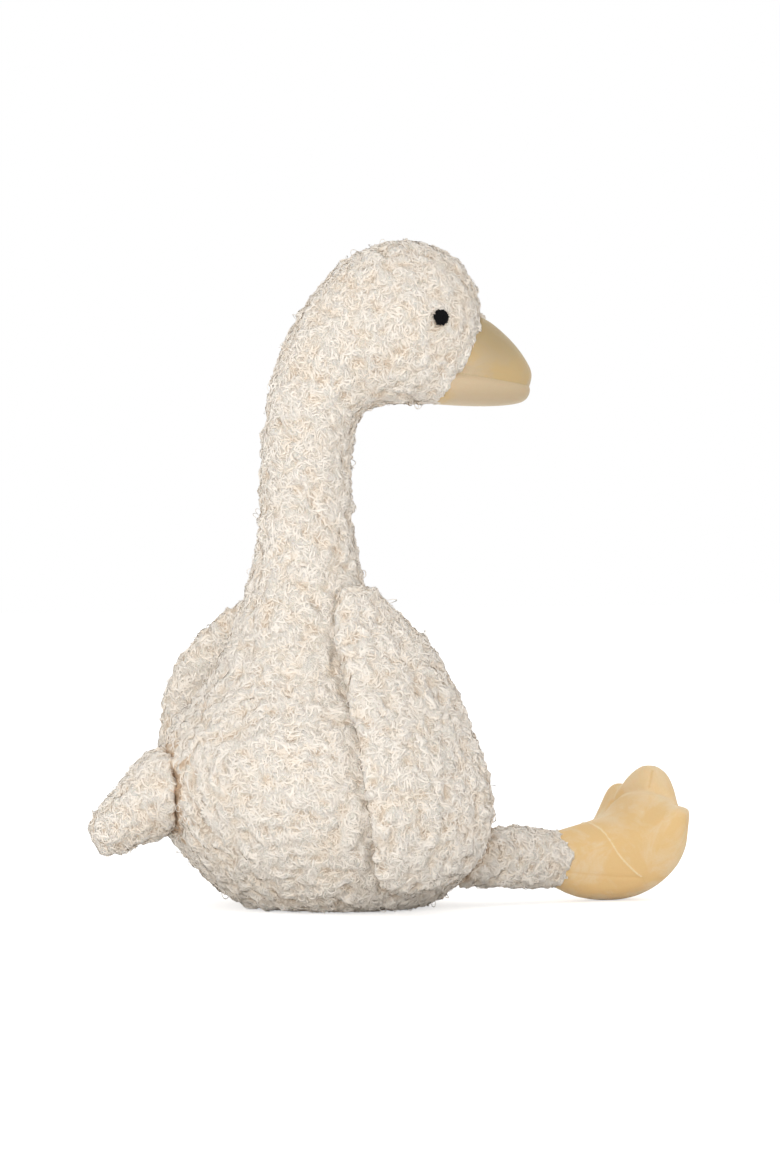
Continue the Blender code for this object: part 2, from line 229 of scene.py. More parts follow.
@dataclass(frozen=True)
class VelvetFinish:
    """Short soft pile that is lighter where its nap lies the other way, with painted shade and highlights."""

    colour: tuple[float, float, float]
    nap_and_sheen: tuple[float, float, float]
    shaded: tuple[float, float, float]
    stitching: tuple[float, float, float] = (0.88, 0.72, 0.46)

    def build(self, name: str) -> bpy.types.Material:
        """Make the material."""
        sheet = NodeSheet(name)
        here = sheet.add("TexCoord").outputs["Object"]
        nap = sheet.add("TexNoise", Scale=48.0, Detail=4.0, Roughness=0.6, Distortion=0.8)
        sheet.join(here, nap.inputs["Vector"])
        colour = sheet.mix(sheet.spread(nap.outputs["Fac"], 0.44, 0.60), self.colour, self.nap_and_sheen)
        # Painted sheen on the tops of the toes, and a paler nap on the lower beak.
        colour = sheet.mix(sheet.attribute("painted_sheen_and_nap").outputs["Fac"], colour, self.nap_and_sheen)
        # Painted shade on the beak, darker towards the upper half's ridge and tip.
        colour = sheet.mix(sheet.attribute("painted_shade").outputs["Fac"], colour, self.shaded)
        fibre = sheet.add("TexNoise", Scale=2600.0, Detail=2.0)
        sheet.join(here, fibre.inputs["Vector"])
        speck = sheet.spread(fibre.outputs["Fac"], 0.3, 0.62)
        colour = sheet.mix(speck, sheet.mix(0.22, colour, self.shaded), colour)
        # Painted shade along the pinched seams and along the beak's mouth line.
        painted_seam_shade = sheet.spread(sheet.attribute("seam").outputs["Fac"], 0.25, 1.0)
        colour = sheet.mix(painted_seam_shade, colour, sheet.mix(0.5, colour, self.shaded))
        # Light thread with a painted highlight along the raised seams.
        run = sheet.spread(sheet.attribute("light_seam").outputs["Fac"], 0.35, 0.8)
        colour = sheet.mix(run, colour, self.stitching)
        sheet.join(colour, sheet.shader.inputs["Base Color"])
        sheet.set(Roughness=0.95, Sheen_Weight=0.7, Sheen_Roughness=0.4, Sheen_Tint=(1.0, 0.92, 0.76, 1.0))
        sheet.set(Specular_IOR_Level=0.1, Subsurface_Weight=0.08, Subsurface_Scale=0.002)
        sheet.relief(fibre.outputs["Fac"], 0.5, 0.0003)
        return sheet.material


FOOT_VELVET = VelvetFinish((0.80, 0.555, 0.27), (0.82, 0.63, 0.39), (0.70, 0.43, 0.17))
BEAK_VELVET = VelvetFinish((0.68, 0.48, 0.235), (0.62, 0.485, 0.325), (0.42, 0.315, 0.17))


@dataclass(frozen=True)
class ThreadFinish:
    """Black embroidery thread with a faint satin gloss."""

    colour: tuple[float, float, float] = (0.004, 0.004, 0.005)

    def build(self, name: str) -> bpy.types.Material:
        """Make the material."""
        sheet = NodeSheet(name)
        twist = sheet.add("TexWave", Scale=900.0, Distortion=2.0, Detail=2.0)
        sheet.join(sheet.add("TexCoord").outputs["Object"], twist.inputs["Vector"])
        lint = sheet.spread(twist.outputs["Fac"], 0.75, 1.0)
        colour = sheet.mix(lint, self.colour, (0.012, 0.012, 0.013))
        sheet.join(colour, sheet.shader.inputs["Base Color"])
        sheet.set(Roughness=0.8, Specular_IOR_Level=0.12)
        sheet.relief(twist.outputs["Fac"], 0.4, 0.0002)
        return sheet.material


@dataclass(frozen=True)
class PaperFinish:
    """The white sweep behind and under the goose, which keeps a light shadow."""

    colour: tuple[float, float, float] = (0.86, 0.86, 0.86)
    camera_white: float = 0.60

    def build(self, name: str) -> bpy.types.Material:
        """Make the material: a matt white that also glows a little, for what looks straight at it."""
        sheet = NodeSheet(name)
        sheet.set(Base_Color=(*self.colour, 1.0), Roughness=1.0, Specular_IOR_Level=0.0)
        glow = sheet.add("Emission", Color=(1.0, 1.0, 1.0, 1.0), Strength=self.camera_white)
        both = sheet.add("AddShader")
        path = sheet.add("LightPath")
        choose = sheet.add("MixShader")
        sheet.join(sheet.shader.outputs[0], both.inputs[0])
        sheet.join(glow.outputs[0], both.inputs[1])
        sheet.join(path.outputs["Is Camera Ray"], choose.inputs[0])
        sheet.join(sheet.shader.outputs[0], choose.inputs[1])
        sheet.join(both.outputs[0], choose.inputs[2])
        sheet.join(choose.outputs[0], sheet.tree.nodes["Material Output"].inputs["Surface"])
        return sheet.material


# Meshes, search trees and filling


def new_piece(name: str, mesh: bpy.types.Mesh) -> bpy.types.Object:
    """Link a mesh to the scene as a piece of its own.

    Args:
        name: the piece's name.
        mesh: its mesh, in place.

    Returns:
        The object, at the origin.
    """
    piece = bpy.data.objects.new(name, mesh)
    bpy.context.scene.collection.objects.link(piece)
    return piece


def piece_from(form: bmesh.types.BMesh, name: str) -> bpy.types.Object:
    """Turn a form into a piece of its own, and free the form.

    Args:
        form: the form, in place.
        name: the piece's name.

    Returns:
        The object, at the origin.
    """
    mesh = bpy.data.meshes.new(name)
    form.to_mesh(mesh)
    form.free()
    return new_piece(name, mesh)


def tube(form: bmesh.types.BMesh, rings: Sequence[Matrix], sides: int) -> None:
    """Add a closed tube to a form.

    Args:
        form: the form that it joins.
        rings: each ring's place, turn and size.
        sides: how many sides the tube has.
    """
    loops = []
    for index, where in enumerate(rings):
        ends = index in (0, len(rings) - 1)
        made = bmesh.ops.create_circle(form, cap_ends=ends, segments=sides, radius=1.0, matrix=where)
        loops.append(list({edge for vert in made["verts"] for edge in vert.link_edges}))
    for lower, upper in zip(loops, loops[1:]):
        bmesh.ops.bridge_loops(form, edges=lower + upper)


def coordinates(mesh: bpy.types.Mesh) -> np.ndarray:
    """The mesh's points, one row each."""
    points = np.empty(len(mesh.vertices) * 3, np.float32)
    mesh.vertices.foreach_get("co", points)
    return points.reshape(-1, 3).astype(float)


def move_points(mesh: bpy.types.Mesh, points: np.ndarray) -> None:
    """Put the mesh's points where the rows say."""
    mesh.vertices.foreach_set("co", points.astype(np.float32).ravel())
    mesh.update()


def point_normals(mesh: bpy.types.Mesh) -> np.ndarray:
    """The mesh's smooth normals, one row for each point."""
    normals = np.empty(len(mesh.vertices) * 3, np.float32)
    mesh.vertex_normals.foreach_get("vector", normals)
    return normals.reshape(-1, 3).astype(float)


def push_out(mesh: bpy.types.Mesh, distance: float | np.ndarray) -> None:
    """Move each point along its normal, by one distance or by its own."""
    step = np.broadcast_to(distance, len(mesh.vertices))[:, None]
    move_points(mesh, coordinates(mesh) + point_normals(mesh) * step)


def settle(piece: bpy.types.Object) -> None:
    """Make a piece's modifiers part of its mesh."""
    graph = bpy.context.evaluated_depsgraph_get()
    mesh = bpy.data.meshes.new_from_object(piece.evaluated_get(graph))
    piece.modifiers.clear()
    old = piece.data
    piece.data = mesh
    mesh.name = old.name
    bpy.data.meshes.remove(old)


def store(mesh: bpy.types.Mesh, name: str, values: np.ndarray) -> None:
    """Keep a number or a vector for each point as a named attribute.

    Args:
        mesh: the mesh.
        name: the attribute's name.
        values: one row for each point, of one column or three.
    """
    kind, key = ("FLOAT_VECTOR", "vector") if values.ndim == 2 else ("FLOAT", "value")
    made = mesh.attributes.get(name) or mesh.attributes.new(name, kind, "POINT")
    made.data.foreach_set(key, values.astype(np.float32).ravel())


def smoothly(value: np.ndarray, low: float, high: float) -> np.ndarray:
    """0 under low, 1 over high and a smooth step between them."""
    share = np.clip((value - low) / (high - low), 0.0, 1.0)
    return share * share * (3.0 - 2.0 * share)


def face_tree(mesh: bpy.types.Mesh) -> BVHTree:
    """A search tree of a mesh's faces."""
    faces = [tuple(face.vertices) for face in mesh.polygons]
    return BVHTree.FromPolygons([vert.co for vert in mesh.vertices], faces)


def point_tree(points: np.ndarray) -> KDTree:
    """A search tree of points."""
    tree = KDTree(len(points))
    for index, point in enumerate(points):
        tree.insert(point, index)
    tree.balance()
    return tree


class Solids:
    """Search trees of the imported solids, made when first asked for."""

    def __init__(self) -> None:
        """Start with no tree made."""
        self.trees: dict[str, BVHTree] = {}

    def tree(self, node: str) -> BVHTree:
        """The search tree of one solid."""
        if node not in self.trees:
            self.trees[node] = face_tree(bpy.data.objects[node].data)
        return self.trees[node]

    def distance(self, points: np.ndarray, nodes: Iterable[str], reach: float) -> np.ndarray:
        """How far each point is from the nearest of some solids.

        Args:
            points: one row each.
            nodes: the solids' names.
            reach: the largest distance that matters.

        Returns:
            The distances, negative inside a solid and reach where none is near.
        """
        found = np.full(len(points), reach)
        for node in nodes:
            tree = self.tree(node)
            low, high = (np.array(corner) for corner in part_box(node))
            near = np.flatnonzero(((points > low - reach) & (points < high + reach)).all(1))
            for index in near:
                spot = Vector(points[index])
                hit, normal, _, gap = tree.find_nearest(spot, reach * 3)
                if hit is None:
                    continue
                if (spot - hit).dot(normal) < 0:
                    gap = -gap
                found[index] = min(found[index], gap)
        return found


SOLIDS = Solids()


@dataclass(frozen=True)
class Filling:
    """How a stuffed piece swells from its solid.

    The first remesh is coarse for the cloth, and the second is fine for what is looked at. No point moves
    further than most. The form swells by closing before the first remesh and shrinks back after it, which
    shuts gaps.
    """

    voxel: float = 5.0 * MILLI
    fine_voxel: float = 1.5 * MILLI
    pressure: float = 4.0
    most: float = 1.3 * MILLI
    frames: int = 20
    smooth_turns: int = 4
    closing: float = 0.0

    def stuff(self, name: str, *nodes: str) -> bpy.types.Object:
        """Copy a solid, or solids that are sewn flush, remesh them, fill them by simulation and refine them.

        Args:
            name: the new piece's name.
            nodes: what it stands for.

        Returns:
            The stuffed piece, with nothing left to apply.
        """
        form = bmesh.new()
        for node in nodes:
            form.from_mesh(bpy.data.objects[node].data)
        bmesh.ops.remove_doubles(form, verts=form.verts, dist=1e-5)
        bmesh.ops.recalc_face_normals(form, faces=form.faces)
        piece = piece_from(form, name)
        push_out(piece.data, self.closing)
        self.remesh(piece, self.voxel)
        push_out(piece.data, -self.closing)
        self.swell(piece)
        rounding = piece.modifiers.new("Rounding", "SUBSURF")
        rounding.levels = rounding.render_levels = 2
        settle(piece)
        self.remesh(piece, self.fine_voxel)
        self.relax(piece, self.smooth_turns)
        return piece

    @staticmethod
    def remesh(piece: bpy.types.Object, voxel: float) -> None:
        """Give a piece even faces of about that size."""
        even = piece.modifiers.new("Even faces", "REMESH")
        even.mode = "VOXEL"
        even.voxel_size = voxel
        even.adaptivity = 0.0
        settle(piece)

    @staticmethod
    def relax(piece: bpy.types.Object, turns: int) -> None:
        """Smooth out the steps that a remesh leaves."""
        form = bmesh.new()
        form.from_mesh(piece.data)
        for _ in range(turns):
            bmesh.ops.smooth_vert(
                form, verts=form.verts, factor=0.5, use_axis_x=True, use_axis_y=True, use_axis_z=True,
            )
        form.to_mesh(piece.data)
        form.free()

    def swell(self, piece: bpy.types.Object) -> None:
        """Press the piece out from inside for a moment, and keep each point near where it was."""
        before = coordinates(piece.data)
        cloth = piece.modifiers.new("Filling", "CLOTH")
        cloth.settings.quality = 6
        cloth.settings.mass = 0.2
        cloth.settings.use_pressure = True
        cloth.settings.uniform_pressure_force = self.pressure
        cloth.settings.effector_weights.gravity = 0.0
        cloth.point_cache.frame_start = 1
        cloth.point_cache.frame_end = self.frames
        scene = bpy.context.scene
        for frame in range(1, self.frames + 1):
            scene.frame_set(frame)
        settle(piece)
        scene.frame_set(1)
        step = coordinates(piece.data) - before
        length = np.linalg.norm(step, axis=1)[:, None]
        move_points(piece.data, before + step * np.minimum(1.0, self.most / np.maximum(length, 1e-9)))


def press_on_floor(points: np.ndarray, least: float = 0.2 * MILLI) -> np.ndarray:
    """Flatten what would go through the floor.

    Args:
        points: one row each.
        least: the lowest height allowed.

    Returns:
        The points, with none lower than that.
    """
    points = points.copy()
    points[:, 2] = np.maximum(points[:, 2], least)
    return points


# Curly pile


@dataclass(frozen=True)
class CurlShape:
    """One curl in millimetres and degrees: a tapered tube along X, with +Z away from the skin."""

    length: float
    turn: float
    rise: float
    half_width: float
    half_height: float
    rings: int
    sides: int = 3
    wave: float = 0.0
    tip_lift: float = 0.0
    rooted: float = 0.35
    thinnest: float = 0.30

    def line(self) -> np.ndarray:
        """The middle points of the curl's rings, in metres."""
        heading, spot, points = -math.radians(self.turn) / 2, np.zeros(2), []
        last = self.rings - 1
        for ring in range(self.rings):
            share = ring / last
            height = self.rise * math.sin(math.pi * share) ** 0.8 + self.tip_lift * share * share
            points.append((spot[0], spot[1], height - self.rooted * self.half_height))
            bend = math.radians(self.turn) * (0.7 + 0.6 * share) / last
            heading += bend + self.wave * math.cos(2 * math.pi * share) / last * 4.0
            spot = spot + self.length / last * np.array((math.cos(heading), math.sin(heading)))
        points = np.array(points)
        points[:, :2] -= points[:, :2].mean(0)
        return points * MILLI

    def build(self) -> "CurlForm":
        """Skin the curl as a tube that is thinner at its ends.

        Returns:
            Its points, faces and what its finish needs.
        """
        form = bmesh.new()
        line = self.line()
        wide, tall = self.half_width * MILLI, self.half_height * MILLI
        rings, last = [], self.rings - 1
        for ring, spot in enumerate(line):
            ahead = Vector(line[min(ring + 1, last)] - line[max(ring - 1, 0)]).normalized()
            across = Vector((0, 0, 1)).cross(ahead).normalized()
            over = ahead.cross(across)
            fullness = math.sin(math.pi * (0.10 + 0.80 * (ring / last))) ** 0.7
            size = self.thinnest + (1.0 - self.thinnest) * fullness
            turn = Matrix((across * wide * size, over * tall * size, ahead)).transposed()
            rings.append(Matrix.Translation(Vector(spot)) @ turn.to_4x4())
        tube(form, rings, self.sides)
        bmesh.ops.recalc_face_normals(form, faces=form.faces)
        form.verts.index_update()
        points = np.array([tuple(vert.co) for vert in form.verts])
        faces = [[vert.index for vert in face.verts] for face in form.faces]
        form.free()
        return CurlForm(points, faces)


@dataclass
class CurlForm:
    """A curl that is ready to be repeated."""

    points: np.ndarray
    faces: list[list[int]]

    def corners(self, mirrored: bool) -> tuple[np.ndarray, np.ndarray]:
        """The faces' corner indices in one row, and each face's corner count."""
        faces = [face[::-1] for face in self.faces] if mirrored else self.faces
        return np.concatenate([np.array(face) for face in faces]), np.array([len(face) for face in faces])


@dataclass
class Roots:
    """Where curls grow: places, outward directions, lie, sizes, and painted shade from 0 in a crevice."""

    spots: np.ndarray
    outward: np.ndarray
    lie: np.ndarray
    size: np.ndarray
    shade: np.ndarray

    def part(self, chosen: np.ndarray) -> "Roots":
        """Only the chosen roots."""
        return Roots(*(rows[chosen] for rows in vars(self).values()))


BLOCKS = ("points", "rise", "tone", "outward", "corners", "sizes")


class CurlMaker:
    """Grows tufts and stray loops of several shapes from roots on a skin."""

    TUFTS = (
        CurlShape(length=8.5, turn=130, rise=1.3, half_width=2.3, half_height=2.3, rings=6, sides=7),
        CurlShape(length=9.5, turn=220, rise=1.4, half_width=2.0, half_height=2.1, rings=7, sides=7),
        CurlShape(length=9.0, turn=20, rise=1.2, half_width=2.1, half_height=2.2, rings=7, sides=7, wave=1.3),
        CurlShape(length=5.0, turn=50, rise=1.2, half_width=2.8, half_height=2.6, rings=5, sides=7),
    )
    LOOPS = (
        CurlShape(length=7.5, turn=230, rise=3.6, half_width=0.24, half_height=0.24, rings=8, tip_lift=0.6),
        CurlShape(
            length=6.0, turn=150, rise=3.2, half_width=0.2, half_height=0.2, rings=7, wave=0.6, tip_lift=1.2,
        ),
    )
    SOFTNESS = 0.5

    def __init__(self, seed: int) -> None:
        """Prepare the forms and the source of chance."""
        self.chance = np.random.default_rng(seed)
        self.tuft_forms = [shape.build() for shape in self.TUFTS]
        self.loop_forms = [shape.build() for shape in self.LOOPS]

    def grow(self, name: str, roots: "Roots", loops: bool = False) -> bpy.types.Object:
        """Repeat the forms at the roots, in one mesh.

        Args:
            name: the piece's name.
            roots: where they grow.
            loops: True for the thin stray loops, False for the plump tufts.

        Returns:
            The piece.
        """
        forms = self.loop_forms if loops else self.tuft_forms
        count = len(roots.spots)
        kind = self.chance.integers(0, len(forms), count)
        mirrored = self.chance.random(count) < 0.5
        tilt = np.radians(self.chance.normal(0.0, 16.0 if loops else 10.0, (count, 2)))
        stretch = self.chance.uniform(0.78, 1.22, (count, 3)) * roots.size[:, None]
        stretch[:, 2] *= self.chance.uniform(0.6, 1.3, count)
        tone = self.chance.random(count)
        across = np.cross(roots.outward, roots.lie)
        blocks: dict[str, list[np.ndarray]] = {key: [] for key in BLOCKS}
        offset = 0
        for index, form in enumerate(forms):
            for flip in (False, True):
                chosen = np.flatnonzero((kind == index) & (mirrored == flip))
                if not len(chosen):
                    continue
                local = form.points[None] * stretch[chosen][:, None, :]
                if flip:
                    local[:, :, 1] *= -1.0
                local[:, :, 2] += (local[:, :, 0] * np.tan(tilt[chosen, 0])[:, None]
                                   + local[:, :, 1] * np.tan(tilt[chosen, 1])[:, None])
                points = (roots.spots[chosen][:, None]
                          + local[:, :, :1] * roots.lie[chosen][:, None]
                          + local[:, :, 1:2] * across[chosen][:, None]
                          + local[:, :, 2:] * roots.outward[chosen][:, None])
                corners, sizes = form.corners(flip)
                shifts = offset + np.arange(len(chosen)) * len(form.points)
                blocks["points"].append(points.reshape(-1, 3))
                # rise carries each root's painted shade.
                blocks["rise"].append(np.repeat(roots.shade[chosen], len(form.points)))
                blocks["outward"].append(np.repeat(roots.outward[chosen], len(form.points), axis=0))
                blocks["tone"].append(np.repeat(tone[chosen], len(form.points)))
                blocks["corners"].append((corners[None] + shifts[:, None]).ravel())
                blocks["sizes"].append(np.tile(sizes, len(chosen)))
                offset += len(chosen) * len(form.points)
        joined = {key: np.concatenate(value) for key, value in blocks.items()}
        return repeated_piece(name, joined, self.SOFTNESS)


def repeated_piece(name: str, blocks: dict[str, np.ndarray], softness: float) -> bpy.types.Object:
    """Turn repeated forms into one piece, shaded partly like the skin that they grow from.

    Args:
        name: the piece's name.
        blocks: one array for each of BLOCKS.
        softness: how much of the shading comes from the skin, from 0 to 1.

    Returns:
        The piece.
    """
    mesh = bpy.data.meshes.new(name)
    points = press_on_floor(blocks["points"])
    mesh.vertices.add(len(points))
    mesh.loops.add(len(blocks["corners"]))
    mesh.polygons.add(len(blocks["sizes"]))
    mesh.vertices.foreach_set("co", points.astype(np.float32).ravel())
    mesh.loops.foreach_set("vertex_index", blocks["corners"].astype(np.int32))
    starts = np.concatenate(([0], np.cumsum(blocks["sizes"])[:-1]))
    mesh.polygons.foreach_set("loop_start", starts.astype(np.int32))
    mesh.update(calc_edges=True)
    for key in ("rise", "tone"):
        store(mesh, key, blocks[key])
    mesh.shade_smooth()
    soft = point_normals(mesh) * (1.0 - softness) + blocks["outward"] * softness
    soft /= np.maximum(np.linalg.norm(soft, axis=1), 1e-6)[:, None]
    mesh.normals_split_custom_set_from_vertices(soft)
    return new_piece(name, mesh)


@dataclass(frozen=True)
class Strands:
    """Fine flat strands of wool on the tufts, with widths in millimetres and bends in degrees a step."""

    step: float = 1.25 * MILLI
    widths: tuple[float, ...] = (0.25, 0.66, 0.78, 0.65, 0.15)
    lift: float = 0.45 * MILLI
    roundness: float = 0.42
    bend: float = 14.0
    bend_spread: float = 20.0
    roll_spread: float = 14.0

    def grow(self, name: str, tree: BVHTree, roots: "Roots", chance: np.random.Generator) -> bpy.types.Object:
        """Comb strands over a skin.

        Args:
            name: the piece's name.
            tree: the search tree of the skin's faces.
            roots: where they start, and which way they lie.
            chance: the source of chance.

        Returns:
            The piece.
        """
        count, rows = len(roots.spots), len(self.widths)
        spots, ahead = roots.spots, roots.lie
        bend = chance.normal(0.0, self.bend_spread, count) + chance.choice((-1.0, 1.0), count) * self.bend
        bend = np.radians(bend)
        roll = np.radians(chance.normal(0.0, self.roll_spread, count))
        lift = self.lift * chance.uniform(0.2, 1.5, count)
        stride = self.step * chance.uniform(0.75, 1.25, count) * roots.size
        width = MILLI * chance.uniform(0.7, 1.25, count)
        points, outward = np.empty((count, rows, 2, 3)), np.empty((count, rows, 2, 3))
        for row, share in enumerate(self.widths):
            found = [tree.find_nearest(Vector(spot)) for spot in spots]
            hits = np.array([tuple(hit[0]) for hit in found])
            up = np.array([tuple(hit[1]) for hit in found])
            ahead = ahead - up * (ahead * up).sum(1)[:, None]
            ahead /= np.maximum(np.linalg.norm(ahead, axis=1), 1e-6)[:, None]
            side = np.cross(up, ahead)
            rise = lift * math.sin(math.pi * (0.08 + 0.8 * row / (rows - 1)))
            middle = hits + up * rise[:, None]
            edge = side * np.cos(roll)[:, None] + up * np.sin(roll)[:, None]
            edge = edge * (width * share / 2)[:, None]
            points[:, row, 0], points[:, row, 1] = middle + edge, middle - edge
            outward[:, row, 0], outward[:, row, 1] = up + side * self.roundness, up - side * self.roundness
            turned = ahead * np.cos(bend)[:, None] + np.cross(up, ahead) * np.sin(bend)[:, None]
            spots, ahead = hits + ahead * stride[:, None], turned
        first = (np.arange(count) * rows * 2)[:, None] + np.arange(rows - 1)[None] * 2
        corners = np.stack((first, first + 1, first + 3, first + 2), axis=2)
        each = rows * 2
        blocks = {
            "points": points.reshape(-1, 3),
            "outward": outward.reshape(-1, 3),
            # rise carries each root's painted shade.
            "rise": np.repeat(roots.shade, each),
            "tone": np.repeat(chance.random(count), each),
            "corners": corners.ravel(),
            "sizes": np.full(count * (rows - 1), 4),
        }
        return repeated_piece(name, blocks, 1.0)


def thin_out(points: np.ndarray, spacing: np.ndarray) -> np.ndarray:
    """Choose points so that no two are nearer than their spacing.

    Args:
        points: candidates, one row each, in the order they are tried.
        spacing: each candidate's own least distance.

    Returns:
        The chosen rows' indices.
    """
    cell = float(spacing.max())
    grid: dict[tuple[int, int, int], list[int]] = {}
    keys = np.floor(points / cell).astype(int)
    chosen: list[int] = []
    around = [(x, y, z) for x in (-1, 0, 1) for y in (-1, 0, 1) for z in (-1, 0, 1)]
    for index, (x, y, z) in enumerate(keys.tolist()):
        spot, least = points[index], spacing[index] ** 2
        near = [other for dx, dy, dz in around for other in grid.get((x + dx, y + dy, z + dz), ())]
        if near and (((points[near] - spot) ** 2).sum(1) < least).any():
            continue
        grid.setdefault((x, y, z), []).append(index)
        chosen.append(index)
    return np.array(chosen)


def scatter(mesh: bpy.types.Mesh, spacing: float,
            chance: np.random.Generator) -> tuple[np.ndarray, np.ndarray]:
    """Spread points over a mesh by chance.

    Args:
        mesh: the mesh.
        spacing: the mean distance between points.
        chance: the source of chance.

    Returns:
        Their places and the smooth outward directions there.
    """
    mesh.calc_loop_triangles()
    corners = np.empty(len(mesh.loop_triangles) * 3, np.int32)
    mesh.loop_triangles.foreach_get("vertices", corners)
    corners = corners.reshape(-1, 3)
    points, outward = coordinates(mesh), point_normals(mesh)
    a, b, c = (points[corners[:, side]] for side in range(3))
    area = np.linalg.norm(np.cross(b - a, c - a), axis=1) / 2
    chosen = corners[chance.choice(len(corners), int(area.sum() / spacing**2), p=area / area.sum())]
    share = chance.random((len(chosen), 2))
    over = share.sum(1) > 1
    share[over] = 1 - share[over]
    weights = np.column_stack((1 - share.sum(1), share))[:, :, None]
    up = (outward[chosen] * weights).sum(1)
    return (points[chosen] * weights).sum(1), up / np.linalg.norm(up, axis=1)[:, None]


def along_skin(lie: np.ndarray, up: np.ndarray) -> np.ndarray:
    """Directions laid flat on the skin, one metre long."""
    lie = lie - up * (lie * up).sum(1)[:, None]
    return lie / np.maximum(np.linalg.norm(lie, axis=1), 1e-6)[:, None]


@dataclass
class PileCoat:
    """The pile of one stuffed piece: plump tufts grown into its skin, with strands on them and stray loops.

    The skin is drawn in by sink before the tufts grow, apart from where it meets a neighbour. There it swells
    by seam_swell. Tufts keep off a seam by seam_gap, and off the border of a bare neighbour by border. Others
    creep over that border, as far as creep.
    """

    node: str
    neighbours: tuple[str, ...]
    filling: Filling
    bare_neighbours: tuple[str, ...] = ()
    spacing: float = 4.3 * MILLI
    strand_spacing: float = 1.9 * MILLI
    voxel: float = 1.45 * MILLI
    sink: float = 0.9 * MILLI
    border: float = 1.3 * MILLI
    creep: float = 1.0 * MILLI
    seam_swell: float = 0.35 * MILLI
    seam_gap: float = 0.45 * MILLI
    strand_gap: float = 0.6 * MILLI
    base_height: float = 0.7 * MILLI
    skin_height: float = 0.5 * MILLI
    loop_share: float = 0.22
    seed: int = 1
    tuft_size: Callable[[np.ndarray], np.ndarray] = field(default=lambda spots: np.ones(len(spots)))
    bare: Sequence[tuple[Vector, float]] = ()

    def build(self, maker: CurlMaker, names: Sequence[str],
              groups: Callable[[np.ndarray], np.ndarray] | None = None) -> list[bpy.types.Object]:
        """Stuff the skin, grow its tufts and lay the strands.

        Args:
            maker: grows the tufts and loops.
            names: the pieces that hold the strands.
            groups: gives each strand the index of its piece. With none, all are in the first.

        Returns:
            The skin, then the strands and the loops.
        """
        chance = np.random.default_rng(self.seed)
        skin = self.filling.stuff(self.node + "_skin", self.node)
        base = coordinates(skin.data)
        near = SOLIDS.distance(base, self.neighbours + self.bare_neighbours, 4.0 * MILLI)
        at_seam = 1.0 - smoothly(near, 0.4 * MILLI, 2.2 * MILLI)
        push_out(skin.data, (self.sink + self.seam_swell) * at_seam - self.sink)
        move_points(skin.data, press_on_floor(coordinates(skin.data), self.base_height))
        ground = face_tree(skin.data)
        tufts = self.tuft_roots(skin.data, chance)
        self.merge(skin, maker.grow(self.node + "_tufts", tufts))
        mesh = skin.data
        move_points(mesh, press_on_floor(coordinates(mesh), self.skin_height))
        # Painted shade, kept as rise: darker in the crevices between tufts and along the seams with
        # neighbours.
        shade = self.shade(coordinates(mesh), ground)
        store(mesh, "rise", shade)
        store(mesh, "tone", np.full(len(shade), 0.5))
        mesh.shade_smooth()
        roots = self.strand_roots(mesh, ground, tufts, chance)
        LOG.info("%s: %d tufts, %d strands", self.node, len(tufts.spots), len(roots.spots))
        cover = face_tree(mesh)
        group = groups(roots.spots) if groups else np.zeros(len(roots.spots), int)
        pieces = [skin]
        for index, name in enumerate(names):
            pieces.append(Strands().grow(name, cover, roots.part(np.flatnonzero(group == index)), chance))
        stray = tufts.part(np.flatnonzero(chance.random(len(tufts.spots)) < self.loop_share))
        pieces.append(maker.grow(self.node + "_loops", stray, loops=True))
        return pieces

    def clear(self, places: np.ndarray, seam: float, border: float) -> np.ndarray:
        """Which places are off the seams, the velvet's border and the bare spots.

        Args:
            places: one row each.
            seam: how far they keep off a seam.
            border: how far they keep off the velvet.

        Returns:
            True for each place that is clear.
        """
        clear = SOLIDS.distance(places, self.neighbours, 3.0 * MILLI) > seam
        if self.bare_neighbours:
            clear &= SOLIDS.distance(places, self.bare_neighbours, 2.0 * MILLI) > border
        for middle, radius in self.bare:
            clear &= np.linalg.norm(places - np.array(middle), axis=1) > radius
        return clear

    def tuft_roots(self, mesh: bpy.types.Mesh, chance: np.random.Generator) -> Roots:
        """Choose where tufts grow, and which way each lies."""
        spots, up = scatter(mesh, self.spacing / 3.0, chance)
        size = self.tuft_size(spots) * chance.uniform(0.8, 1.2, len(spots))
        chosen = thin_out(spots, self.spacing * size)
        chosen = chosen[self.clear(spots[chosen], self.seam_gap, self.border)]
        spots, up, size = spots[chosen], up[chosen], size[chosen]
        for node in self.bare_neighbours:
            over, over_up = self.creeping(node, chance)
            spots, up = np.concatenate((spots, over)), np.concatenate((up, over_up))
            size = np.concatenate((size, chance.uniform(0.6, 0.85, len(over))))
        lie = along_skin(chance.normal(0.0, 1.0, spots.shape) + np.array((0.0, 0.0, -0.3)), up)
        return Roots(spots, up, lie, size, np.full(len(spots), 1.0))

    def creeping(self, node: str, chance: np.random.Generator) -> tuple[np.ndarray, np.ndarray]:
        """Choose where tufts creep over the border of a bare neighbour.

        Args:
            node: the neighbour's solid.
            chance: the source of chance.

        Returns:
            Their places and the outward directions there.
        """
        spots, up = scatter(bpy.data.objects[node].data, 1.1 * MILLI, chance)
        near = SOLIDS.distance(spots, (self.node,), 4.0 * MILLI)
        farthest = chance.uniform(0.5 * MILLI, self.creep, len(spots))
        chosen = np.flatnonzero((near > 0.4 * MILLI) & (near < farthest))
        chosen = chosen[thin_out(spots[chosen], np.full(len(chosen), 2.4 * MILLI))]
        return spots[chosen] - up[chosen] * 0.6 * MILLI, up[chosen]

    def merge(self, skin: bpy.types.Object, tufts: bpy.types.Object) -> None:
        """Grow tufts together with the skin."""
        form = bmesh.new()
        form.from_mesh(skin.data)
        form.from_mesh(tufts.data)
        form.to_mesh(skin.data)
        form.free()
        bpy.data.objects.remove(tufts, do_unlink=True)
        self.filling.remesh(skin, self.voxel)
        self.filling.relax(skin, 1)

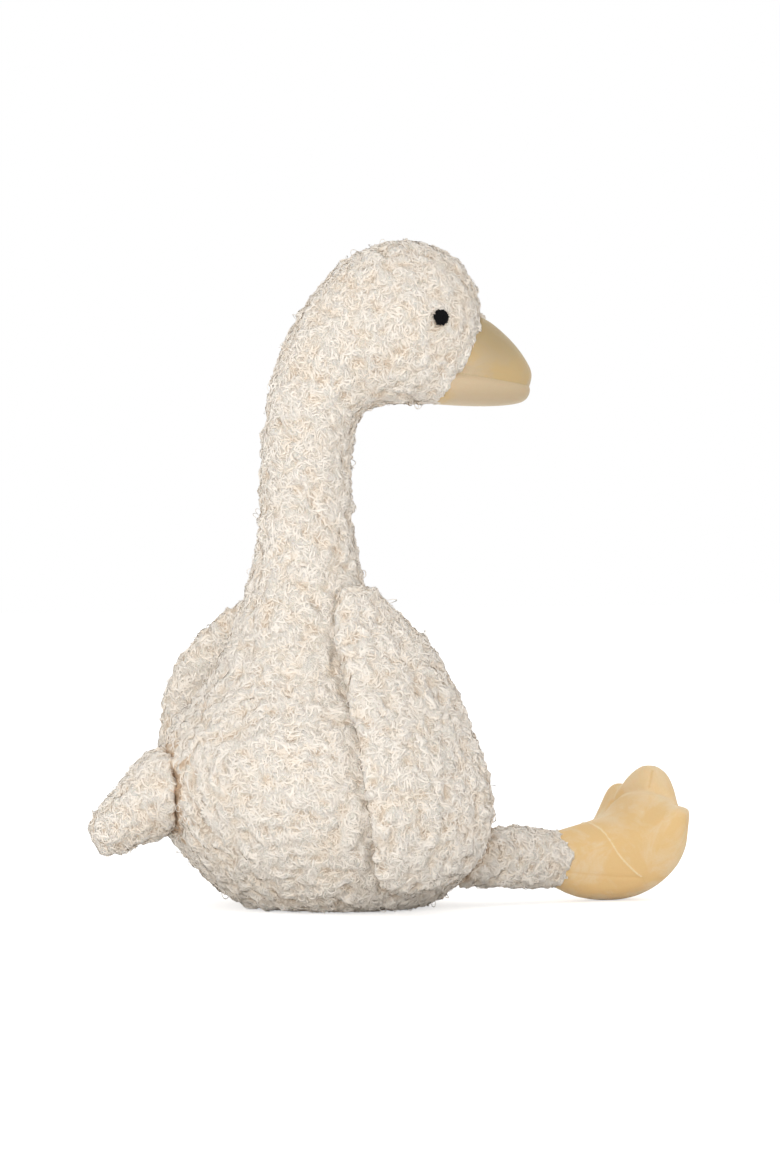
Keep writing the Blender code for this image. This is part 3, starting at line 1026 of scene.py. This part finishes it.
    def shade(self, points: np.ndarray, ground: BVHTree) -> np.ndarray:
        """Painted shade for each point: 0 in a crevice or at a seam between parts, and 1 on a tuft."""
        height = np.array([ground.find_nearest(Vector(point))[3] for point in points])
        near_seam = SOLIDS.distance(points, self.neighbours, 8.0 * MILLI)
        high = 0.25 + 0.75 * smoothly(height, 0.3 * MILLI, 2.4 * MILLI)
        return high * (0.1 + 0.9 * smoothly(near_seam, 0.2 * MILLI, 4.5 * MILLI))

    def strand_roots(self, mesh: bpy.types.Mesh, ground: BVHTree, tufts: Roots,
                     chance: np.random.Generator) -> Roots:
        """Choose where strands start, and which way they lie on their tuft.

        Args:
            mesh: the skin with its tufts.
            ground: the search tree of the skin without them.
            tufts: where the tufts grow.
            chance: the source of chance.

        Returns:
            The strands' roots.
        """
        spots, up = scatter(mesh, self.strand_spacing, chance)
        underneath = (spots[:, 2] < 2.5 * MILLI) & (chance.random(len(spots)) < 0.7)
        chosen = self.clear(spots, self.strand_gap, 0.4 * MILLI) & ~underneath
        spots, up = spots[chosen], up[chosen]
        nearest = point_tree(tufts.spots)
        tuft = np.array([nearest.find(Vector(spot))[1] for spot in spots])
        swirl = along_skin(np.cross(up, spots - tufts.spots[tuft]), up)
        lie = along_skin(tufts.lie[tuft] * 0.9 + swirl * 0.6 + chance.normal(0.0, 0.3, spots.shape), up)
        return Roots(spots, up, lie, tufts.size[tuft], 0.15 + 0.85 * self.shade(spots, ground))


# Sub-assemblies


@dataclass
class Goose:
    """What every sub-assembly needs: the finishes and the maker of curls."""

    maker: CurlMaker
    pile_skin: bpy.types.Material
    pile_curls: bpy.types.Material
    foot_velvet: bpy.types.Material
    beak_velvet: bpy.types.Material
    thread: bpy.types.Material

    def finish(self, piece: bpy.types.Object, material: bpy.types.Material) -> bpy.types.Object:
        """Dress a piece, and let it ride on the goose.

        Args:
            piece: the piece, in place.
            material: its finish.

        Returns:
            The piece.
        """
        piece.data.materials.clear()
        piece.data.materials.append(material)
        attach(piece, ROOT)
        piece.data.calc_loop_triangles()
        LOG.info("%s: %d triangles", piece.name, len(piece.data.loop_triangles))
        return piece

    def stuffed(self, piece: bpy.types.Object, material: bpy.types.Material, node: str) -> None:
        """Dress a stuffed piece that stands for a solid.

        Args:
            piece: the piece, in place.
            material: its finish.
            node: the solid.
        """
        self.finish(piece, material)
        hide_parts(node)

    def coat(self, pieces: Sequence[bpy.types.Object], node: str, fill: float) -> None:
        """Finish a coat of pile, whose first piece stands for a solid."""
        skin, *curls = pieces
        self.stuffed(skin, self.pile_skin, node)
        for piece in curls:
            self.finish(piece, self.pile_curls)


@dataclass
class Body:
    """Torso, neck and head, one stuffed skin."""

    heights: tuple[float, ...] = (0.040, 0.078, 0.150, 0.250)
    neck_top: float = 0.250
    crown: float = 0.280
    eye_clearance: float = 4.6 * MILLI
    chin: Vector = field(default_factory=lambda: place(0.030, 0.008, 0.252))
    chin_reach: tuple[float, float] = (0.016, 0.034)

    def build(self, goose: Goose) -> None:
        """Make the skin and its curls, with the eyes left bare."""
        bare = []
        for side in Side:
            low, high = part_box(side.word + "_eye")
            bare.append(((low + high) / 2, self.eye_clearance))
        coat = PileCoat(
            "body", ("right_wing", "left_wing", "tail", "right_leg", "left_leg"),
            Filling(fine_voxel=2.2 * MILLI), bare_neighbours=("upper_beak", "lower_beak"), seed=11,
            tuft_size=self.tuft_size, bare=bare,
        )
        names = ("seat_strands", "belly_strands", "shoulder_strands", "neck_strands", "head_strands")
        goose.coat(coat.build(goose.maker, names, self.groups), "body", 0.75)

    def tuft_size(self, spots: np.ndarray) -> np.ndarray:
        """Tufts are smaller and closer under the chin and round the face."""
        near_chin = np.linalg.norm(spots - np.array(self.chin), axis=1)
        size = 0.72 + 0.28 * smoothly(near_chin, *self.chin_reach)
        head = smoothly(spots[:, 2], self.neck_top, self.crown)
        return np.minimum(size, 1.0 - 0.15 * head)

    def groups(self, spots: np.ndarray) -> np.ndarray:
        """Part the curls by height, so that no piece grows too large."""
        return np.searchsorted(np.array(self.heights), spots[:, 2])


@dataclass
class Wing:
    """A flat stuffed flipper, sewn on at the shoulder."""

    side: Side

    def build(self, goose: Goose) -> None:
        """Make the skin and its curls."""
        node = self.side.word + "_wing"
        filling = Filling(voxel=4.0 * MILLI, fine_voxel=2.0 * MILLI)
        coat = PileCoat(node, ("body",), filling, seed=20 + self.side.value)
        goose.coat(coat.build(goose.maker, (node + "_strands",)), node, 0.55)


@dataclass
class Tail:
    """The blunt stuffed tail."""

    def build(self, goose: Goose) -> None:
        """Make the skin and its curls."""
        coat = PileCoat("tail", ("body",), Filling(voxel=3.5 * MILLI), seed=31)
        goose.coat(coat.build(goose.maker, ("tail_strands",)), "tail", 0.7)


@dataclass
class Leg:
    """A short stuffed leg between the torso and the foot."""

    side: Side

    def build(self, goose: Goose) -> None:
        """Make the skin and its curls."""
        node = self.side.word + "_leg"
        foot = self.side.word + "_foot"
        coat = PileCoat(
            node, ("body",), Filling(voxel=3.0 * MILLI), bare_neighbours=(foot,), sink=-0.4 * MILLI,
            border=0.1 * MILLI, creep=3.0 * MILLI, seed=40 + self.side.value,
        )
        goose.coat(coat.build(goose.maker, (node + "_strands",)), node, 0.6)


def run_of(line: Sequence[Vector], step: float) -> np.ndarray:
    """Points along a broken line, a step apart.

    Args:
        line: its corners.
        step: the distance between points.

    Returns:
        One row for each point.
    """
    points = []
    for start, end in zip(line, line[1:]):
        count = max(1, int((end - start).length / step))
        points += [start.lerp(end, share / count) for share in range(count)]
    return np.array([*points, line[-1]])


@dataclass(frozen=True)
class Seam:
    """A sewn line on velvet.

    A depth below 0 is a raised ridge and not a pinch. A colour above 0 is painted shade in the pinch, and a
    colour below 0 is light thread with a painted highlight on the ridge.
    """

    line: tuple[Vector, ...]
    depth: float
    width: float
    colour: float


@dataclass
class Foot:
    """A webbed velvet foot that turns up, with three toes and its sewn seams.

    Each row of seams is a line, its depth and width in millimetres, and its colour: painted shade in the
    pinch, or below 0 light thread with a painted highlight. The line's points are the distance past the
    ankle's seam, the place across and the height. EDGE_SEAMS are on both sides.
    """

    EDGE_SEAMS = (
        (
            (
                (20.5, 2.0, 38.5), (26.0, 8.0, 31.0), (32.0, 14.0, 23.0), (37.0, 18.5, 17.0),
                (40.0, 21.5, 13.2),
            ),
            -0.45, 0.65, -0.9,
        ),
        (((0.0, 14.0, 15.5), (14.0, 15.0, 14.0), (27.0, 18.0, 13.0), (40.0, 22.0, 12.6)), 0.35, 0.8, 0.75),
        (((40.0, 22.0, 12.6), (42.0, 22.5, 9.5), (44.0, 22.0, 6.0)), 0.3, 0.7, 0.5),
    )
    TOE_SEAMS = (
        (
            (
                (60.0, 24.0, 61.0), (54.0, 17.0, 58.0), (50.5, 9.0, 57.0), (49.0, 0.0, 56.0),
                (48.0, -9.0, 54.0), (46.0, -16.0, 50.0),
            ),
            1.7, 2.2, 0.12,
        ),
        (((49.0, 20.0, 50.0), (46.0, 12.0, 46.0)), -1.3, 8.0, 0.0),
        (((56.0, -24.0, 63.0), (50.0, -20.0, 55.0), (44.0, -16.0, 47.0), (38.0, -11.0, 43.0)), 0.9, 1.8, 0.1),
        (((57.5, 9.0, 73.0), (54.0, 10.0, 67.0), (52.0, 10.5, 59.0)), 0.6, 0.8, 1.0),
        (((58.5, 30.0, 57.0), (60.0, 33.5, 50.0), (60.5, 35.0, 40.0), (57.0, 34.5, 30.0)), 0.35, 0.7, 0.5),
    )

    side: Side
    splay: float
    ankle_distance: float = 0.122
    leg_spacing: float = 0.054
    ankle_height: float = 0.0225

    @property
    def ahead(self) -> Vector:
        """The way the leg points."""
        return place(math.cos(self.splay), self.side.value * math.sin(self.splay), 0.0)

    @property
    def out(self) -> Vector:
        """The foot's own outer side."""
        return place(-math.sin(self.splay), self.side.value * math.cos(self.splay), 0.0)

    @property
    def ankle(self) -> Vector:
        """The middle of the ankle's seam."""
        hip = place(0.0, self.side.value * self.leg_spacing / 2, self.ankle_height)
        return hip + self.ahead * self.ankle_distance

    def seam(self, spots: Sequence[tuple[float, float, float]], edge: float, depth: float, width: float,
             colour: float) -> Seam:
        """Place a seam near the velvet.

        Args:
            spots: its points, as in the rows of seams.
            edge: 1, or -1 to mirror it to the foot's other side.
            depth: how deep it is pinched, in millimetres.
            width: how wide the pinch is, in millimetres.
            colour: how much painted shade it has, or below 0 how light its thread and painted highlight are.

        Returns:
            The seam, in the scene.
        """
        points = []
        for along, across, up in spots:
            flat = self.ankle + self.ahead * (along * MILLI) + self.out * (across * edge * MILLI)
            points.append(Vector((flat.x, flat.y, up * MILLI)))
        return Seam(tuple(points), depth * MILLI, width * MILLI, colour)

    def seams(self) -> list[Seam]:
        """All the foot's seams."""
        edges = [self.seam(line, edge, *looks) for edge in (1.0, -1.0) for line, *looks in self.EDGE_SEAMS]
        return edges + [self.seam(line, 1.0, *looks) for line, *looks in self.TOE_SEAMS]

    def build(self, goose: Goose) -> None:
        """Stuff the foot and pinch it along its seams."""
        node = self.side.word + "_foot"
        filling = Filling(voxel=2.6 * MILLI, fine_voxel=0.9 * MILLI, most=0.8 * MILLI)
        foot = filling.stuff(node + "_velvet", node)
        sew(foot, self.seams(), (self.side.word + "_leg",), 0.8 * MILLI)
        goose.stuffed(foot, goose.foot_velvet, node)


def sew(piece: bpy.types.Object, seams: Sequence[Seam], neighbours: Sequence[str], flush: float) -> None:
    """Pinch a stuffed piece along its seams, and swell it against its neighbours.

    Args:
        piece: the piece.
        seams: its seams, each a line near its surface.
        neighbours: the solids that it is sewn to.
        flush: how far it swells against them.
    """
    mesh = piece.data
    points, outward = coordinates(mesh), point_normals(mesh)
    skin = face_tree(mesh)
    depth, shade, light, level = (np.zeros(len(points)) for _ in range(4))
    for seam in seams:
        near = seam_distance(seam, skin, points)
        pinch = np.exp(-((near / seam.width) ** 2))
        depth += pinch * seam.depth
        # Painted shade in each pinch, and light thread with a painted highlight along each raised seam.
        shade = np.maximum(shade, pinch * seam.colour)
        light = np.maximum(light, pinch * -seam.colour)
    # Painted sheen: the tops of the toes are lighter.
    painted_sheen_and_nap = 0.6 * smoothly(points[:, 2], 44.0 * MILLI, 68.0 * MILLI) if seams else level
    points = points - outward * depth[:, None]
    close = 1.0 - smoothly(SOLIDS.distance(points, neighbours, 3.0 * MILLI), 0.4 * MILLI, 2.6 * MILLI)
    points = points + outward * (flush * close)[:, None]
    move_points(mesh, press_on_floor(points))
    Filling.relax(piece, 1)
    # Kept for the finish: painted shade at seams, light thread with painted highlight, beak shade (none here),
    # painted sheen.
    for name, values in (("seam", shade), ("light_seam", light), ("painted_shade", level), ("painted_sheen_and_nap", painted_sheen_and_nap)):
        store(mesh, name, values)
    mesh.shade_smooth()


def seam_distance(seam: Seam, skin: BVHTree, points: np.ndarray) -> np.ndarray:
    """How far each point is from a seam that is laid on the skin.

    Args:
        seam: the seam.
        skin: the search tree of the skin's faces.
        points: one row each.

    Returns:
        The distances, and 1 m where the seam is far.
    """
    runs = run_of(seam.line, 0.5 * MILLI)
    laid = np.array([tuple(skin.find_nearest(Vector(spot))[0]) for spot in runs])
    tree = point_tree(laid)
    reach = 3.0 * seam.width
    near = np.flatnonzero(((points > laid.min(0) - reach) & (points < laid.max(0) + reach)).all(1))
    found = np.full(len(points), 1.0)
    found[near] = [tree.find(Vector(points[index]))[2] for index in near]
    return found


@dataclass
class Beak:
    """The beak's two stuffed halves, which are sewn together at the mouth."""

    neck_back: float = 0.008
    turn: float = math.radians(22)
    ridge_heights: tuple[float, float] = (0.266, 0.286)
    pinch_depth: float = 0.35 * MILLI
    pinch_width: float = 0.8 * MILLI
    line_width: float = 0.45 * MILLI
    stitch_length: float = 1.6 * MILLI

    def forward(self, points: np.ndarray) -> np.ndarray:
        """How far forward of the throat each point lies, as the head looks."""
        ahead = np.array((-math.sin(self.turn), -math.cos(self.turn)))
        return points[:, :2] @ ahead - self.neck_back * math.cos(self.turn)

    def upper_painted_shade(self, points: np.ndarray) -> np.ndarray:
        """Painted shade on the upper half: darker towards its ridge and tip."""
        height = smoothly(points[:, 2], *self.ridge_heights)
        forward = self.forward(points)
        out = smoothly(forward, np.percentile(forward, 8), np.percentile(forward, 60))
        return np.clip(0.10 + 0.50 * height + 0.35 * out, 0.0, 1.0)

    def lower_painted_shade(self, points: np.ndarray) -> np.ndarray:
        """A little painted shade on the lower half, towards its tip and underside."""
        forward = self.forward(points)
        out = smoothly(forward, np.percentile(forward, 20), np.percentile(forward, 90))
        return 0.2 * out

    def lower_brush(self, points: np.ndarray) -> np.ndarray:
        """The lower half has a paler nap, apart from its root."""
        forward = self.forward(points)
        return smoothly(forward, np.percentile(forward, 4), np.percentile(forward, 40))

    def mouth(self) -> tuple[np.ndarray, np.ndarray]:
        """A point on the mouth's plane and its upward direction, from where the two solids meet."""
        spots, _ = scatter(bpy.data.objects["lower_beak"].data, 0.6 * MILLI, np.random.default_rng(5))
        meeting = spots[SOLIDS.distance(spots, ("upper_beak",), 2.0 * MILLI) < 0.6 * MILLI]
        middle = meeting.mean(0)
        up = np.linalg.svd(meeting - middle, full_matrices=False)[2][2]
        return middle, up * math.copysign(1.0, up[2])

    def build(self, goose: Goose) -> None:
        """Stuff both halves as one form, pinch it at the mouth and part it there."""
        filling = Filling(
            voxel=1.3 * MILLI, fine_voxel=0.75 * MILLI, most=0.5 * MILLI, closing=1.3 * MILLI,
        )
        whole = filling.stuff("whole_beak", "upper_beak", "lower_beak")
        sew(whole, (), ("body",), 1.1 * MILLI)
        middle, up = self.mouth()
        off = (coordinates(whole.data) - middle) @ up
        push_out(whole.data, -self.pinch_depth * np.exp(-((off / self.pinch_width) ** 2)))
        for half, side in (("upper_beak", 1.0), ("lower_beak", -1.0)):
            piece = self.part(whole, half + "_velvet", middle, up, side)
            points = coordinates(piece.data)
            off = (points - middle) @ up
            # The mouth line: painted shade in its pinch, broken into dashes for its stitches.
            dash = 0.65 + 0.35 * np.sin(self.forward(points) * math.tau / self.stitch_length)
            store(piece.data, "seam", np.exp(-((off / self.line_width) ** 2)) * dash)
            # Painted shade: the upper half darker at its ridge and tip, the lower a little at its tip.
            store(piece.data, "painted_shade", self.upper_painted_shade(points) if side > 0.0 else self.lower_painted_shade(points))
            store(piece.data, "painted_sheen_and_nap", np.zeros(len(points)) if side > 0.0 else self.lower_brush(points))
            goose.stuffed(piece, goose.beak_velvet, half)
        bpy.data.objects.remove(whole, do_unlink=True)

    @staticmethod
    def part(whole: bpy.types.Object, name: str, middle: np.ndarray, up: np.ndarray,
             side: float) -> bpy.types.Object:
        """Cut one half from the whole beak, and close it at the mouth.

        Args:
            whole: both halves as one form.
            name: the half's name.
            middle: a point on the mouth's plane.
            up: the plane's upward direction.
            side: 1 for the upper half and -1 for the lower.

        Returns:
            The half.
        """
        form = bmesh.new()
        form.from_mesh(whole.data)
        everything = [*form.verts, *form.edges, *form.faces]
        bmesh.ops.bisect_plane(
            form, geom=everything, dist=1e-6, plane_co=Vector(middle), plane_no=Vector(up * side),
            clear_inner=True,
        )
        rim = [edge for edge in form.edges if edge.is_boundary]
        bmesh.ops.holes_fill(form, edges=rim, sides=0)
        for face in form.faces:
            face.smooth = True
        for edge in rim:
            edge.smooth = False
        bmesh.ops.triangulate(form, faces=[face for face in form.faces if len(face.verts) > 4])
        return piece_from(form, name)


@dataclass
class Eye:
    """A small dome of black stitches, sunk in the pile of the head."""

    side: Side
    radius: float = 3.7 * MILLI
    dome: float = 1.7 * MILLI
    thread: float = 0.36 * MILLI
    rows: int = 11
    rings: int = 9
    sides: int = 6
    sunk: float = 0.1 * MILLI

    def build(self, goose: Goose) -> None:
        """Lay two crossing layers of satin stitches over a low dome."""
        node = self.side.word + "_eye"
        low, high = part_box(node)
        hit, normal, _, _ = SOLIDS.tree("body").find_nearest((low + high) / 2)
        upright = normal.to_track_quat("Z", "Y").to_matrix().to_4x4()
        where = Matrix.Translation(hit - normal * self.sunk) @ upright
        chance = np.random.default_rng(7 + self.side.value)
        form = bmesh.new()
        bmesh.ops.create_uvsphere(form, u_segments=24, v_segments=12, radius=self.radius * 0.92)
        bmesh.ops.scale(form, vec=(1.0, 1.0, self.dome / self.radius), verts=form.verts)
        for turn, lift in ((0.0, 0.0), (math.radians(64), 0.22 * MILLI)):
            for row in range(self.rows):
                across = (row / (self.rows - 1) * 2 - 1) * (self.radius - self.thread * 0.6)
                self.stitch(form, across, lift, turn, chance)
        bmesh.ops.transform(form, matrix=where, verts=form.verts)
        piece = piece_from(form, node + "_stitches")
        piece.data.shade_smooth()
        goose.finish(piece, goose.thread)
        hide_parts(node)

    def stitch(self, form: bmesh.types.BMesh, across: float, lift: float, turn: float,
               chance: np.random.Generator) -> None:
        """Add one stitch to the eye, as a thin tube that follows the dome.

        Args:
            form: the mesh that it joins.
            across: its distance from the eye's middle.
            lift: how far it lies over the dome.
            turn: the layer's direction.
            chance: the source of chance.
        """
        reach = math.sqrt(max(0.0, self.radius**2 - across**2)) * chance.uniform(0.84, 1.18) + 0.15 * MILLI
        shift = chance.uniform(-0.3, 0.3) * MILLI
        rings = []
        slope = Matrix.Rotation(math.radians(90), 3, "X") * self.thread
        for ring in range(self.rings):
            share = ring / (self.rings - 1) * 2 - 1
            along = reach * share + shift
            flat = min(1.0, (along**2 + across**2) / self.radius**2)
            height = self.dome * math.sqrt(max(0.0, 1 - flat)) + lift
            spot = Vector((across, along, height))
            rings.append(Matrix.Rotation(turn, 4, "Z") @ Matrix.Translation(spot) @ slope.to_4x4())
        tube(form, rings, self.sides)


# Studio


def hang(name: str, data: bpy.types.ID, aim: Vector, offset: Vector) -> bpy.types.Object:
    """Hang a lamp or the camera so that it looks at its aim.

    Args:
        name: the object's name.
        data: the lamp's or the camera's data.
        aim: what it looks at.
        offset: where it hangs, from there.

    Returns:
        The object.
    """
    thing = bpy.data.objects.new(name, data)
    bpy.context.scene.collection.objects.link(thing)
    thing.location = aim + offset
    thing.rotation_mode = "QUATERNION"
    thing.rotation_quaternion = (-offset).to_track_quat("-Z", "Y")
    return thing


@dataclass(frozen=True)
class Lamp:
    """A large soft lamp, placed by the camera's own directions from the goose's middle."""

    name: str
    right: float
    towards: float
    up: float
    size: float
    level: float

    def build(self, middle: Vector, right: Vector, towards: Vector) -> None:
        """Hang the lamp and aim it.

        Args:
            middle: what it shines on.
            right: the picture's right-hand direction.
            towards: the direction from the goose to the camera.
        """
        light = bpy.data.lights.new(self.name, "AREA")
        light.shape = "SQUARE"
        light.size = self.size
        offset = right * self.right + towards * self.towards + Vector((0, 0, self.up))
        light.energy = self.level * math.pi**2 * offset.length_squared
        hang(self.name, light, middle, offset)


@dataclass
class Studio:
    """A white sweep, soft lamps and the camera at the photograph's angle."""

    azimuth: float = math.radians(240)
    elevation: float = math.radians(1)
    lens: float = 185.0
    distance: float = 3.0
    aim_right: float = 0.035
    aim_height: float = 0.1615
    world_level: float = 0.83
    lamps: tuple[Lamp, ...] = (
        Lamp("key_lamp", -1.4, 1.5, 0.4, 1.5, 0.13),
        Lamp("fill_lamp", 1.6, 1.4, 0.1, 1.6, 0.07),
        Lamp("low_lamp", -0.2, 1.3, -0.11, 0.5, 0.40),
    )

    @property
    def right(self) -> Vector:
        """The picture's right-hand direction."""
        return Vector((math.cos(self.azimuth), math.sin(self.azimuth), 0.0))

    @property
    def towards(self) -> Vector:
        """The direction from the goose to the camera."""
        level = math.cos(self.elevation)
        across, ahead = math.sin(self.azimuth) * level, -math.cos(self.azimuth) * level
        return Vector((across, ahead, math.sin(self.elevation)))

    def build(self) -> None:
        """Make the floor, the world, the lamps and the camera."""
        self.build_floor()
        self.build_world()
        aim = self.right * self.aim_right + Vector((0, 0, self.aim_height))
        for lamp in self.lamps:
            lamp.build(aim, self.right, self.towards)
        camera = hang("camera", bpy.data.cameras.new("camera"), aim, self.towards * self.distance)
        camera.data.lens = self.lens
        camera.data.sensor_width = 36.0
        camera.data.clip_start = 0.1
        bpy.context.scene.camera = camera
        bpy.context.scene.view_settings.view_transform = "Standard"

    @staticmethod
    def build_floor() -> None:
        """Lay a wide white floor."""
        form = bmesh.new()
        bmesh.ops.create_grid(form, x_segments=8, y_segments=8, size=6.0)
        floor = piece_from(form, "floor")
        floor.data.materials.append(PaperFinish().build("white_paper"))

    def build_world(self) -> None:
        """Light the goose evenly from all round, and show white behind it."""
        world = bpy.data.worlds.new("studio")
        bpy.context.scene.world = world
        world.use_nodes = True
        tree = world.node_tree
        tree.nodes.clear()
        output = tree.nodes.new("ShaderNodeOutputWorld")
        plain, white = (tree.nodes.new("ShaderNodeBackground") for _ in range(2))
        plain.inputs["Strength"].default_value = self.world_level
        white.inputs["Strength"].default_value = 1.0
        for background in (plain, white):
            background.inputs["Color"].default_value = (1.0, 1.0, 1.0, 1.0)
        path = tree.nodes.new("ShaderNodeLightPath")
        choose = tree.nodes.new("ShaderNodeMixShader")
        tree.links.new(path.outputs["Is Camera Ray"], choose.inputs[0])
        tree.links.new(plain.outputs[0], choose.inputs[1])
        tree.links.new(white.outputs[0], choose.inputs[2])
        tree.links.new(choose.outputs[0], output.inputs[0])


def clear_start() -> None:
    """Remove what Blender starts with."""
    for thing in list(bpy.data.objects):
        bpy.data.objects.remove(thing, do_unlink=True)


def main() -> None:
    """Build the goose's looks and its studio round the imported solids."""
    logging.basicConfig(level=logging.INFO, format="%(message)s")
    clear_start()
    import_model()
    pile = PileFinish()
    goose = Goose(
        maker=CurlMaker(5),
        pile_skin=pile.build("pile_skin", strands=False),
        pile_curls=pile.build("pile_strands", strands=True),
        foot_velvet=FOOT_VELVET.build("foot_velvet"),
        beak_velvet=BEAK_VELVET.build("beak_velvet"),
        thread=ThreadFinish().build("thread"),
    )
    Body().build(goose)
    for side in Side:
        Wing(side).build(goose)
        Leg(side).build(goose)
        Eye(side).build(goose)
    Foot(Side.RIGHT, math.radians(-2)).build(goose)
    Foot(Side.LEFT, math.radians(40)).build(goose)
    Tail().build(goose)
    Beak().build(goose)
    Studio().build()


if __name__ == "__main__":
    main()
